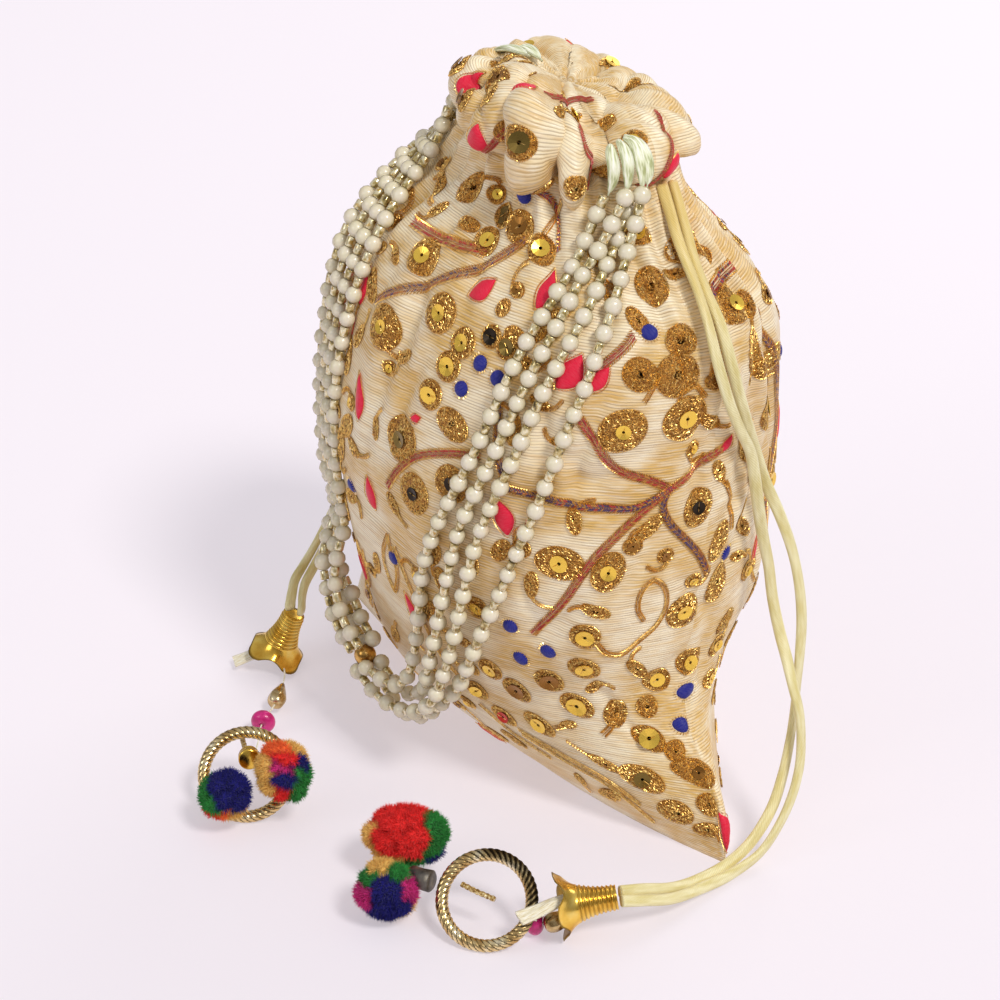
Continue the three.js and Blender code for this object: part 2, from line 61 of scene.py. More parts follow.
def aimed(place, back, roll=0.0):
    """The matrix of a camera or lamp at a place that looks away from its own back direction."""
    side = np.cross([0, 0, 1], back)
    side /= np.linalg.norm(side)
    above = np.cross(back, side)
    right = math.cos(roll) * side + math.sin(roll) * above
    up = math.cos(roll) * above - math.sin(roll) * side
    rows = [[*row, at] for row, at in zip(np.column_stack([right, up, back]), place)]
    return Matrix(rows + [[0, 0, 0, 1]])


def shown(item):
    bpy.context.scene.collection.objects.link(item)
    return item


def dye(red, green, blue):
    """A colour given as 0 to 255 on a screen, turned to the linear light that a shader takes."""
    screen = np.array([red, green, blue]) / 255
    linear = np.where(screen <= 0.04045, screen / 12.92, ((screen + 0.055) / 1.055) ** 2.4)
    return (*(float(part) for part in linear), 1.0)


camera = shown(bpy.data.objects.new("camera", bpy.data.cameras.new("camera")))
camera.data.lens, camera.data.sensor_width = LENS, SENSOR
camera.matrix_world = aimed(CAMERA_PLACE, outward(AZIMUTH, ELEVATION), ROLL)
bpy.context.scene.camera = camera
bpy.context.scene.view_settings.view_transform = "Standard"

floor_mesh = bpy.data.meshes.new("floor")
corners = [(x * FLOOR_HALF, y * FLOOR_HALF, 0) for x, y in ((-1, -1), (1, -1), (1, 1), (-1, 1))]
floor_mesh.from_pydata(corners, [], [(0, 1, 2, 3)])
floor = shown(bpy.data.objects.new("floor", floor_mesh))
paper = bpy.data.materials.new("floor_paper")
paper.use_nodes = True
for socket, value in {
    "Base Color": dye(184, 179, 184), "Roughness": 0.9, "Specular IOR Level": 0.1,
    "Emission Color": dye(250, 242, 250), "Emission Strength": 0.44,
}.items():
    paper.node_tree.nodes["Principled BSDF"].inputs[socket].default_value = value
floor_mesh.materials.append(paper)

key = shown(bpy.data.objects.new("key_light", bpy.data.lights.new("key_light", "SUN")))
key.data.energy, key.data.angle = 1.9, math.radians(14)
key.data.color = (1.0, 0.975, 0.94)
key.matrix_world = aimed((0, 0, 2), outward(KEY_AZIMUTH, KEY_ELEVATION))
for name, azimuth, elevation, power, width in LAMPS:
    lamp = shown(bpy.data.objects.new(name, bpy.data.lights.new(name, "AREA")))
    lamp.data.energy, lamp.data.size = power, width
    toward = outward(math.radians(azimuth), math.radians(elevation))
    lamp.matrix_world = aimed(toward * LAMP_DISTANCE + LAMP_AIM, toward)

world = bpy.data.worlds.new("studio")
world.use_nodes = True
bpy.context.scene.world = world
dome = world.node_tree
direction = dome.nodes.new("ShaderNodeTexCoord")
split = dome.nodes.new("ShaderNodeSeparateXYZ")
shade = dome.nodes.new("ShaderNodeValToRGB")
shade.color_ramp.elements[0].position, shade.color_ramp.elements[0].color = 0.02, (0.42, 0.41, 0.43, 1)
shade.color_ramp.elements[1].position, shade.color_ramp.elements[1].color = 0.75, (0.95, 0.95, 1.0, 1)
dome.links.new(direction.outputs["Generated"], split.inputs[0])
dome.links.new(split.outputs["Z"], shade.inputs["Fac"])
dome.links.new(shade.outputs["Color"], dome.nodes["Background"].inputs["Color"])
dome.nodes["Background"].inputs["Strength"].default_value = 0.5

# --- The pouch ------------------------------------------------------------------------------------
# One tube of ribbed raw silk, seamed flat at the bottom, stuffed round, and drawn in at the top by
# two cords. Above their channel the cloth stands out as a frill of soft lobes, bunched shut on top.
COLUMNS = 336
MM_PER_DEGREE = 1.2
CHANNEL_HEIGHT = 181.0
BODY_STATIONS = np.array([
    [0, 88, 15], [12, 85.5, 27.5], [35, 67, 42.5], [75, 68, 53], [115, 70, 53.5], [150, 68.5, 43],
    [172, 43, 26], [185, 31, 24],
])
SEAM_FADE_HEIGHT = 60
BODY_LEAN, LEAN_PIVOT = 0.028, 95
CORNER_SWEEP = 8
# distance along the cloth past the channel, height, half width, half depth, fold, droop, tilt
FRILL_STATIONS = np.array([
    [0, 181.0, 33.0, 23.8, 0.25, 0, 0],
    [3, 182.6, 29.8, 21.6, 0.5, 0.4, 0],
    [6, 182.8, 31.2, 23.4, 0.9, 1.1, 0.1],
    [10, 184.4, 33.0, 25.8, 1.1, 1.1, 0.4],
    [14, 187.6, 33.4, 26.4, 1.05, 0.7, 0.8],
    [18, 190.8, 31.8, 25.0, 0.95, 0.3, 1.0],
    [22, 193.2, 28.0, 22.0, 0.85, 0, 1.0],
    [26, 194.0, 23.2, 18.0, 0.7, 0, 1.0],
    [31, 193.6, 17.4, 13.2, 0.55, 0, 1.0],
    [37, 192.6, 10.6, 8.0, 0.4, 0, 1.0],
    [43, 191.6, 3.6, 3.0, 0.2, 0, 1.0],
])
FRILL_BACK = 2.4
# how much higher the top of the frill stands at places across it, towards TILT_X and TILT_Y
CROWN = np.array([
    [-34, 0.4], [-24, 2.6], [-12, 4.6], [-2, 1.2], [6, -0.6], [14, -1.0], [24, -2.4], [36, -4.2],
])
TILT_X, TILT_Y = 0.576, 0.818
# angle, half width in degrees, swell and droop in millimetres of each lobe of the frill
FRILL_LOBES = (
    (2, 27, 3.6, 2.2), (322, 9, 4.6, 7.0), (297, 14, 7.4, 5.6), (268, 14, 3.6, 0.6), (243, 12, 1.0, 0.5),
    (216, 14, 2.4, 1.0), (50, 20, 4.6, 1.0), (86, 15, 3.5, 2.0), (120, 17, 4.0, 1.0), (155, 16, 3.0, 2.0),
    (186, 14, 2.0, 1.0),
)
VALLEY_DEPTH = 3.6
# ridges that crumple the top of the frill: direction in degrees, wavelength and depth in millimetres, phase
CRUMPLES = ((38, 31, 2.0, 0.6), (118, 24, 1.2, 2.1), (72, 12, 0.5, 4.0))
PLEATS, PLEAT_DEPTH = 5, 1.7
MOUTH_SHIFT = (-9.5, 6.5)
RIB_PITCH, WEAVE_GIRTH = 0.8, 420
# creases: how many, depth, half width and half length in millimetres, lowest, highest, lean in degrees
CREASES = (
    (34, -2.0, 3.0, 24, 118, 178, 14), (34, 1.5, 9, 26, 20, 160, 50), (36, -1.5, 3.0, 17, 24, 150, 55),
)


def turns_of(count):
    """Angles that part a whole turn evenly."""
    return np.linspace(0, 2 * math.pi, count, endpoint=False)


def smooth_rows(stations, at):
    """The other columns of a table of stations at values of its first, on a cubic through them."""
    at = np.asarray(at, float)
    slopes = np.diff(stations[:, 1:], axis=0) / np.diff(stations[:, 0])[:, None]
    tangents = np.vstack([slopes[:1], (slopes[:-1] + slopes[1:]) / 2, slopes[-1:]])
    i = np.clip(np.searchsorted(stations[:, 0], at, side="right") - 1, 0, len(stations) - 2)
    span = (stations[i + 1, 0] - stations[i, 0])[:, None]
    t = (at[:, None] - stations[i, :1]) / span
    ends = (2 * t**3 - 3 * t**2 + 1) * stations[i, 1:] + (3 * t**2 - 2 * t**3) * stations[i + 1, 1:]
    return ends + (t**3 - 2 * t**2 + t) * span * tangents[i] + (t**3 - t**2) * span * tangents[i + 1]


def body_rows(angle, height):
    """The stuffed body: a pointed lens at the bottom seam that turns into an oval higher up."""
    half_width, half_depth = smooth_rows(BODY_STATIONS, height).T[:, :, None]
    height = np.asarray(height, float)[:, None]
    seam = np.clip(1 - height / SEAM_FADE_HEIGHT, 0, 1)
    x = half_width * np.cos(angle)
    y = half_depth * np.sin(angle) * np.abs(np.sin(angle)) ** seam
    sweep = CORNER_SWEEP * (np.maximum(0, -x) / BODY_STATIONS[0, 1]) ** 2 * seam
    y = y + BODY_LEAN * (height - LEAN_PIVOT) - sweep
    return np.stack([x, y, height + 0 * x], -1)


def lobes(angle):
    """How far the frill swells outwards and droops at each angle."""
    swell, droop = np.full(angle.shape, -VALLEY_DEPTH), np.zeros(angle.shape)
    for crest, half_width, out, down in FRILL_LOBES:
        offset = (np.degrees(angle) - crest + 180) % 360 - 180
        shape = np.cos(np.clip(offset / half_width, -1, 1) * math.pi / 2)
        swell = np.maximum(swell, (out + VALLEY_DEPTH) * np.maximum(shape, 0) ** 0.55 - VALLEY_DEPTH)
        droop = np.maximum(droop, down * np.maximum(shape, 0) ** 0.8)
    return swell, droop


def frill_rows(angle, distance):
    """The frill: lobes that hang over the channel, around a mouth that is bunched shut."""
    table = smooth_rows(FRILL_STATIONS, distance).T[:, :, None]
    height, half_width, half_depth, fold, hang, tilt = table
    wander = 0.06 * np.sin(distance / 4.5)[:, None] + 0.05 * np.sin(2 * angle + distance[:, None] / 9)
    swell, droop = lobes(angle + wander * np.clip(distance[:, None] / 12, 0, 1))
    x = (half_width + fold * swell) * np.cos(angle)
    y = (half_depth + fold * swell) * np.sin(angle) + FRILL_BACK
    gathered = np.clip((distance[:, None] - 14) / 24, 0, 1)
    x, y = x + MOUTH_SHIFT[0] * gathered, y + MOUTH_SHIFT[1] * gathered
    across = TILT_X * x + TILT_Y * y
    z = height - hang * droop + tilt * np.interp(across, *CROWN.T) + 0.25 * tilt * swell
    return np.stack([x, y, z], -1)


def crumpled(points, distance):
    """How far the bunched top of the frill stands in or out, as sharp valleys and round ridges."""
    x, y, z = np.moveaxis(points, -1, 0)
    relief = np.zeros(x.shape)
    for heading, wave, depth, phase in CRUMPLES:
        turn = math.radians(heading)
        bend = 1.4 * np.sin((y * math.cos(turn) - x * math.sin(turn)) / wave * 2.4 + phase)
        run = (x * math.cos(turn) + y * math.sin(turn) + bend + 0.7 * z) * math.pi / wave + phase
        relief += depth * (np.abs(np.sin(run)) ** 0.7 * 2 - 1.3)
    around = np.arctan2(y - FRILL_BACK - MOUTH_SHIFT[1], x - MOUTH_SHIFT[0])
    fan = np.abs(np.sin(PLEATS / 2 * around + 0.7 * np.sin(2 * around) + distance[:, None] / 14))
    relief += PLEAT_DEPTH * (fan**0.6 * 2 - 1.4)
    top = np.clip((distance - 9) / 9, 0, 1)[:, None]
    shut = np.clip((FRILL_STATIONS[-1, 0] - distance) / 12, 0.35, 1)[:, None]
    return relief * (0.2 + 0.8 * top) * shut * np.clip(distance / 5, 0, 1)[:, None]


def grid_normals(points):
    """Outward normals of rows of points that close on themselves sideways."""
    sideways = np.roll(points, -1, 1) - np.roll(points, 1, 1)
    normals = np.cross(sideways, np.gradient(points, axis=0))
    return normals / np.maximum(np.linalg.norm(normals, axis=-1, keepdims=True), 1e-9)


def creases(angle, height):
    """How far the stuffed cloth stands in or out: gathers under the channel, soft dents, long folds."""
    degrees = np.degrees(angle)[None, :] + 0 * height[:, None]
    height = height[:, None] + 0 * degrees
    wander = degrees + 3 * np.sin(height / 11) + 2 * np.sin(height / 5 + degrees / 30)
    gather = np.cos(np.radians(24 * wander)) + 0.7 * np.cos(np.radians(37 * wander + 40))
    gather += 0.6 * np.cos(np.radians(14 * wander + 200))
    relief = gather * np.clip((height - 142) / 36, 0, 1) ** 1.5
    rng = np.random.default_rng(11)
    for count, depth, wide, tall, low, high, lean in CREASES:
        for _ in range(count):
            at, up = rng.uniform(0, 360), rng.uniform(low, high)
            turn, size = math.radians(rng.normal(0, lean)), rng.uniform(0.6, 1.3)
            across = ((degrees - at + 180) % 360 - 180) * MM_PER_DEGREE
            rise = height - up
            side = across * math.cos(turn) + rise * math.sin(turn)
            along = rise * math.cos(turn) - across * math.sin(turn)
            relief += depth * size * np.exp(-((side / (wide * size)) ** 2) - (along / (tall * size)) ** 2)
    return relief * np.clip(height / 14, 0, 1)


angles = turns_of(COLUMNS)
heights = np.concatenate([
    np.linspace(0, 12, 9)[:-1], np.linspace(12, 150, 102)[:-1], np.linspace(150, 180, 32),
])
distances = np.linspace(0, FRILL_STATIONS[-1, 0], 54)
body = body_rows(angles, heights)
body += grid_normals(body) * creases(angles, heights)[..., None]
body[..., 2] = np.maximum(body[..., 2], 0)
frill = frill_rows(angles, distances)
ruffle = 0.35 * np.cos(41 * angles + 0.8) + 0.3 * np.cos(27 * angles)
frill += grid_normals(frill) * (ruffle * np.clip(1 - distances / 20, 0, 1)[:, None])[..., None]
frill += grid_normals(frill) * crumpled(frill, distances)[..., None]
cloth_points = np.concatenate([body, frill])
for _ in range(2):  # the cloth rounds off where the body runs into the channel
    low, high = len(heights) - 3, len(heights) + 3
    for row in range(low, high):
        cloth_points[row] = (cloth_points[row - 1] + 2 * cloth_points[row] + cloth_points[row + 1]) / 4
cloth_normals = grid_normals(cloth_points)
cloth_places = np.concatenate([heights, CHANNEL_HEIGHT + distances])
steps = np.linalg.norm(np.diff(cloth_points, axis=0), axis=-1).mean(1)
cloth_lengths = np.concatenate([[0], np.cumsum(steps)])


def cloth_at(angle, place, lift=0.0, field=None):
    """Points that stand off the cloth, at angles in degrees and heights; the frill goes on past 181."""
    column = np.mod(np.asarray(angle, float), 360) / 360 * COLUMNS
    row = np.interp(place, cloth_places, np.arange(len(cloth_places)))
    i, j = np.clip(row.astype(int), 0, len(cloth_places) - 2), column.astype(int) % COLUMNS
    s, t = (row - i)[..., None], (column - column.astype(int))[..., None]
    after = (j + 1) % COLUMNS

    def sample(table):
        low = table[i, j] * (1 - t) + table[i, after] * t
        return low * (1 - s) + (table[i + 1, j] * (1 - t) + table[i + 1, after] * t) * s

    normal = sample(cloth_normals)
    normal /= np.linalg.norm(normal, axis=-1, keepdims=True)
    if field == "normal":
        return normal
    return sample(cloth_points) + normal * np.asarray(lift)[..., None]


def beside(angle, place, across, upward):
    """The angle and height of cloth that lies so many millimetres across and above another place."""
    wide = np.linalg.norm(cloth_at(angle + 2.0, place) - cloth_at(angle - 2.0, place)) / 4
    tall = np.linalg.norm(cloth_at(angle, place + 1.5) - cloth_at(angle, place - 1.5)) / 3
    return angle + np.asarray(across) / wide, place + np.asarray(upward) / max(tall, 0.6)


def piece(name, points, faces, material=None, smooth=True):
    """A mesh object with its place in its mesh. The points are in millimetres."""
    mesh = bpy.data.meshes.new(name)
    mesh.from_pydata((np.asarray(points, float).reshape(-1, 3) * MM).tolist(), [], faces)
    mesh.polygons.foreach_set("use_smooth", [smooth] * len(mesh.polygons))
    if material:
        mesh.materials.append(material)
    return shown(bpy.data.objects.new(name, mesh))


def weave_map(item, rows, columns, girth, lengths):
    """A map in millimetres on a tube of rows of points: around it, and along it at each row's length."""
    corners = np.zeros(len(item.data.loops), int)
    item.data.loops.foreach_get("vertex_index", corners)
    row, column = np.minimum(corners // columns, rows - 1), corners % columns
    face = np.repeat(np.arange(len(item.data.polygons)), [len(p.vertices) for p in item.data.polygons])
    highest = np.zeros(len(item.data.polygons), int)
    np.maximum.at(highest, face, column)
    past_seam = (column == 0) & (highest[face] == columns - 1)
    places = np.stack([(column + past_seam * columns) / columns * girth, lengths[row]], -1)
    layer = item.data.uv_layers.new(name="weave")
    layer.data.foreach_set("uv", places.astype(np.float32).ravel())


def strip_faces(rows, columns, start=0, closed=True):
    """Quads between rows of points; each row closes on itself unless it is open."""
    wide = columns if closed else columns - 1
    row, column = np.meshgrid(np.arange(rows - 1), np.arange(wide), indexing="ij")
    near, far = row * columns + column, row * columns + (column + 1) % columns
    quads = np.stack([near, far, far + columns, near + columns], -1).reshape(-1, 4) + start
    return quads.tolist()


class Wire:
    """An output socket. Arithmetic on it adds Math nodes to its tree."""

    def __init__(self, wiring, socket):
        self.wiring, self.socket = wiring, socket

    def worked(self, operation, *values):
        return self.wiring.node("ShaderNodeMath", {"operation": operation}, dict(enumerate(values)))

    def __add__(self, other):
        return self.worked("ADD", self, other)

    def __sub__(self, other):
        return self.worked("SUBTRACT", self, other)

    def __rsub__(self, other):
        return self.worked("SUBTRACT", other, self)

    def __mul__(self, other):
        return self.worked("MULTIPLY", self, other)

    def __pow__(self, other):
        return self.worked("POWER", self, other)

    def sine(self):
        return self.worked("SINE", self)

    __radd__ = __add__
    __rmul__ = __mul__


class Wiring:
    """The nodes of one material or one geometry tree."""

    def __init__(self, tree):
        self.tree = tree

    def join(self, value, socket):
        if isinstance(value, Wire):
            self.tree.links.new(value.socket, socket)
        else:
            socket.default_value = value

    def node(self, kind, settings=None, sockets=None, output=0):
        made = self.tree.nodes.new(kind)
        for name, value in (settings or {}).items():
            if name != "stops":
                setattr(made, name, value)
                continue
            made.color_ramp.elements.remove(made.color_ramp.elements[1])
            made.color_ramp.elements[0].position = value[0][0]
            for position, _ in value[1:]:
                made.color_ramp.elements.new(position)
            for element, (_, colour) in zip(made.color_ramp.elements, value):
                element.color = colour
        for key, value in (sockets or {}).items():
            self.join(value, made.inputs[key])
        return Wire(self, made.outputs[output])


class Finish(Wiring):
    """A material: constants go on the shader's own sockets, wires feed what varies."""

    def __init__(self, name, **constants):
        self.material = bpy.data.materials.new(name)
        self.material.use_nodes = True
        super().__init__(self.material.node_tree)
        self.shader = self.tree.nodes["Principled BSDF"]
        for socket, value in constants.items():
            self.feed(socket.replace("_", " "), value)

    def feed(self, socket, value):
        self.join(value, self.shader.inputs[socket])

    def place(self):
        return self.node("ShaderNodeTexCoord", output="Object")

    def mapped(self, name="weave"):
        return self.node("ShaderNodeUVMap", {"uv_map": name})

    def axis(self, vector, name):
        return self.node("ShaderNodeSeparateXYZ", sockets={0: vector}, output=name)

    def fibres(self, vector, across, along):
        """Noise drawn out along a map, as fibres that lie side by side."""
        sockets = {0: vector, 1: (across, along, 1)}
        return self.noise(self.node("ShaderNodeVectorMath", {"operation": "MULTIPLY"}, sockets), 1.0, 3)

    def dyed(self):
        return self.node("ShaderNodeAttribute", {"attribute_name": "thread"}, output="Color")

    # the groove attribute holds painted shade: how far a metal piece is painted near black in its hollows
    # and grooves
    def painted_shade(self):
        return self.node("ShaderNodeAttribute", {"attribute_name": "groove"}, output="Fac")

    def noise(self, place, scale, detail=2.0, output="Fac"):
        sockets = {"Vector": place, "Scale": scale, "Detail": detail}
        return self.node("ShaderNodeTexNoise", sockets=sockets, output=output)

    def ramp(self, factor, *stops):
        return self.node("ShaderNodeValToRGB", {"stops": stops}, {"Fac": factor})

    def clamped(self, factor, low, high):
        sockets = {"Value": factor, "From Min": low, "From Max": high}
        return self.node("ShaderNodeMapRange", {"clamp": True}, sockets)

    def blend(self, factor, first, second, kind="MIX"):
        settings = {"data_type": "RGBA", "blend_type": kind}
        return self.node("ShaderNodeMix", settings, {0: factor, 6: first, 7: second}, 2)

    def relief(self, height, depth, strength=1.0):
        """Feeds a bump: the height runs from 0 to 1 and stands for a depth in millimetres."""
        sockets = {"Height": height, "Distance": depth * MM, "Strength": strength}
        self.feed("Normal", self.node("ShaderNodeBump", sockets=sockets))


def raw_silk():
    silk = Finish("raw_silk", Roughness=0.42, Sheen_Weight=0.35, Sheen_Roughness=0.35)
    silk.shader.inputs["Specular IOR Level"].default_value = 0.55
    silk.shader.inputs["Sheen Tint"].default_value = (1.0, 0.93, 0.78, 1)
    weave = silk.mapped()
    across, along = silk.axis(weave, "X"), silk.axis(weave, "Y")

    def streaks(wide, tall, detail=2.0):
        spot = silk.node("ShaderNodeCombineXYZ", sockets={0: across * (1 / wide), 1: along * (1 / tall)})
        return silk.noise(spot, 1.0, detail)

    wobble = streaks(9, 5) * 2.6 + streaks(2.2, 1.1) * 1.3
    rib = (along * (2 * math.pi / RIB_PITCH) + wobble).sine() * 0.5 + 0.5
    slub = silk.clamped(streaks(7, 0.55, 3), 0.42, 0.72)
    warp = silk.clamped(streaks(0.4, 6), 0.3, 0.7)
    # painted sheen and shade: the patch noise lays large cream highlights against golden shade on the silk
    patch = silk.clamped(streaks(26, 18, 3), 0.4, 0.6)
    groove = (1 - rib) ** 3.2
    colour = silk.blend(patch, dye(224, 182, 98), dye(252, 236, 198))
    colour = silk.blend(slub * 0.55, colour, dye(255, 250, 232))
    colour = silk.blend(silk.clamped(streaks(12, 1.3, 2), 0.5, 0.72) * 0.4, colour, dye(212, 162, 80))
    shadow = groove * (silk.clamped(streaks(13, 2.4), 0.36, 0.62) * 0.4 + 0.22)
    colour = silk.blend(shadow, colour, dye(140, 98, 40))
    silk.feed("Base Color", colour)
    silk.feed("Roughness", 0.36 + groove * 0.3)
    silk.relief(rib * 0.5 + slub * 0.35 + warp * 0.12, 0.16, 0.8)
    return silk.material


silk = raw_silk()
cloth_rows = len(cloth_points)
base_ring = body_rows(angles, [0.0])[0] * [0.5, 0.5, 1] + [0, -LEAN_PIVOT * BODY_LEAN * 0.5, 0]
mouth_centre = cloth_points[-1].mean(0) - [0, 0, 0.4]
points = np.concatenate([cloth_points.reshape(-1, 3), base_ring, [base_ring.mean(0), mouth_centre]])
faces = strip_faces(cloth_rows, COLUMNS)
first_base, base_middle = cloth_rows * COLUMNS, cloth_rows * COLUMNS + COLUMNS
last_row = (cloth_rows - 1) * COLUMNS
for j in range(COLUMNS):
    after = (j + 1) % COLUMNS
    faces.append((j, first_base + j, first_base + after, after))
    faces.append((first_base + j, base_middle, first_base + after))
    faces.append((last_row + j, last_row + after, base_middle + 1))
pouch = piece("pouch_silk", points, faces, silk)
weave_map(pouch, cloth_rows, COLUMNS, WEAVE_GIRTH, cloth_lengths)
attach(pouch, "root")
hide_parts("pouch")

# --- The embroidery -------------------------------------------------------------------------------
# Machine embroidery in gold zari thread: coin-like rounds with a spangle sewn in the middle, leaves
# and scrolls, braided vines in red and navy silk, red satin leaves and royal blue satin dots. The
# pattern is worked on one half of the cloth and repeats on the other.
REPEAT = 180
GOLD_SPANGLE, OLIVE_SPANGLE, BROWN_SPANGLE = dye(246, 204, 84), dye(122, 100, 46), dye(150, 102, 42)
BLACK_SPANGLE, RED_SPANGLE = dye(44, 34, 22), dye(190, 46, 30)
ZARI_SHADES = (
    dye(228, 178, 86), dye(200, 142, 58), dye(252, 220, 136), dye(142, 90, 34), dye(218, 164, 74),
)
RED_SILK, NAVY_SILK, COPPER_SILK = dye(186, 26, 44), dye(34, 30, 112), dye(168, 96, 50)
# angle, height, outer radius, spangle radius and colour, and for some a squeeze and its turn
COINS = (
    (264, 154, 5.6, 2.3, GOLD_SPANGLE), (261, 134, 6.4, 2, GOLD_SPANGLE),
    (277, 145, 5.6, 2.3, GOLD_SPANGLE), (286, 141, 4.3, 2.4, GOLD_SPANGLE),
    (280, 163, 4.1, 2.2, GOLD_SPANGLE), (284, 134, 4.3, 2.6, GOLD_SPANGLE),
    (281, 125, 4.3, 2.6, GOLD_SPANGLE), (13, 155, 5.8, 2.3, GOLD_SPANGLE),
    (331, 129, 6.4, 2, GOLD_SPANGLE), (348, 131, 6.5, 2.6, GOLD_SPANGLE),
    (320, 89, 7, 2.5, GOLD_SPANGLE, 0.7, 0), (332, 88, 6.2, 2.2, GOLD_SPANGLE, 0.7, 70),
    (355, 71, 5.3, 2.3, GOLD_SPANGLE), (327, 67, 4.3, 2.6, GOLD_SPANGLE),
    (326, 55, 4.4, 2.5, GOLD_SPANGLE), (320, 40, 4.6, 3, GOLD_SPANGLE), (305, 30, 4.3, 2.5, GOLD_SPANGLE),
    (298, 46, 3.6, 2.1, GOLD_SPANGLE), (290, 35, 3.4, 2, GOLD_SPANGLE), (347, 48, 4.1, 2.2, GOLD_SPANGLE),
    (2, 52, 4.1, 2.2, GOLD_SPANGLE), (337, 31, 4.4, 2.9, GOLD_SPANGLE), (298, 68, 3.6, 2, GOLD_SPANGLE),
    (282, 169, 3.7, 2.5, OLIVE_SPANGLE), (293, 145, 3.2, 2.2, BLACK_SPANGLE),
    (298, 144, 3.5, 2.3, OLIVE_SPANGLE), (274, 109, 6.7, 2.4, OLIVE_SPANGLE),
    (280, 96, 6, 1.9, BLACK_SPANGLE), (291, 104, 5.5, 1.9, BLACK_SPANGLE),
    (356, 103, 5.8, 1.9, BLACK_SPANGLE, 0.72, 80), (326, 20, 6.7, 2.4, OLIVE_SPANGLE, 0.72, 12),
    (315, 48, 4.1, 2.8, BROWN_SPANGLE), (304, 41, 4.2, 2.6, BROWN_SPANGLE),
    (352, 23, 5.3, 1.8, BROWN_SPANGLE, 0.8, 140), (294, 28, 3.6, 1.9, RED_SPANGLE),
    (291, 168, 4.8, 2.4, BROWN_SPANGLE), (301, 165, 4.3, 2.4, GOLD_SPANGLE),
    (28, 120, 6, 2.3, GOLD_SPANGLE), (40, 92, 5.5, 2.3, GOLD_SPANGLE), (60, 70, 5.8, 2.3, OLIVE_SPANGLE),
    (50, 142, 5.3, 2.3, GOLD_SPANGLE),
)
# angle, height, half length, half width, turn of the gold leaves and petals
GOLD_LEAVES = (
    (262, 171, 5.6, 3.7, 60), (272, 164, 3.6, 2, 10), (341, 161.5, 5.8, 4.8, 80), (344, 143, 6.3, 5.8, 0),
    (333, 143.5, 4.9, 4.4, 150), (333, 155, 4, 2.5, 120), (346, 151, 4.7, 4.1, 20), (289, 120, 6, 4.1, -20),
    (342, 100, 4.9, 2.2, 45), (16, 143, 5.8, 3, 70), (19, 137, 3.8, 2.5, 120), (4, 167, 6.3, 4.6, 20),
    (16, 166, 6.3, 3.9, 130), (299, 147, 2.5, 3.4, 80), (294, 152, 2.7, 2.1, 60), (330, 38, 5.6, 3, 58),
    (331, 12, 6, 3.9, 22), (349, 16, 3.8, 2.8, 60), (341, 40, 3.8, 2.8, 60), (345, 28, 4, 2.5, 50),
    (5, 90, 6, 3.2, 70), (7, 76, 6, 3.7, 80), (305, 89, 3.8, 2.5, 60), (245, 118, 5.6, 2.8, 100),
    (246, 92, 5.6, 2.8, 80), (288, 73, 4, 2.3, 100), (283, 60, 3.8, 2.1, 80), (20, 104, 5.2, 2.8, 120),
    (33, 134, 5.6, 3.4, 20), (52, 120, 5.2, 3, 80), (70, 100, 5.6, 3, 40), (36, 60, 5.6, 3, 70),
    (70, 140, 4.9, 2.8, 120), (310, 10, 4.7, 2.5, 30), (16, 60, 4, 2.5, 60), (290, 18, 4, 2.1, -30),
)
# angle, height, half length, half width, turn of the red satin leaves
RED_LEAVES = (
    (286, 154, 5.0, 2.9, 42), (305, 158, 6.2, 2.7, 74), (315, 142, 5.6, 3.6, 62),
    (322, 141.5, 4.6, 2.4, 52),
    (256, 112, 6.6, 2.9, 104), (246, 138, 5.6, 2.8, 100), (262, 86, 5.4, 2.6, 96), (305, 99, 5.6, 3.0, 112),
    (275, 55, 6.0, 2.6, 108), (276, 8, 5.0, 2.0, 152), (10, 127, 3.2, 2.2, 80),
    (4, 120, 2.6, 1.6, 60), (278, 117, 2.0, 1.2, 20), (44, 108, 5.4, 2.8, 70), (62, 126, 5.4, 2.8, 110),
    (30, 78, 5.2, 2.6, 60), (66, 52, 5.4, 2.6, 100),
)
CORNER_LEAF = (1, 9, 6.4, 2.6, 100)
BLUE_DOTS = (
    (292, 138), (297.5, 136), (289, 130), (336, 153), (307, 65), (308.5, 54), (317, 59), (1, 43), (354, 34),
    (290, 175), (251, 82), (10, 84), (270, 70), (48, 128), (52, 84),
)
DOT_RADIUS, SATIN_PITCH = 2.3, 0.36
BRAID_PITCH, EDGE_PITCH, COUCHED_PITCH, SCATTER_DENSITY = 0.54, 0.75, 0.62, 3.3
SLANT, AHEAD = 0.62, 0.3
SPRIG_COUNT, SPRIG_ROOM, WIDE_DEGREE, CORNER_MARGIN = 96, 1.6, 1.1, 14
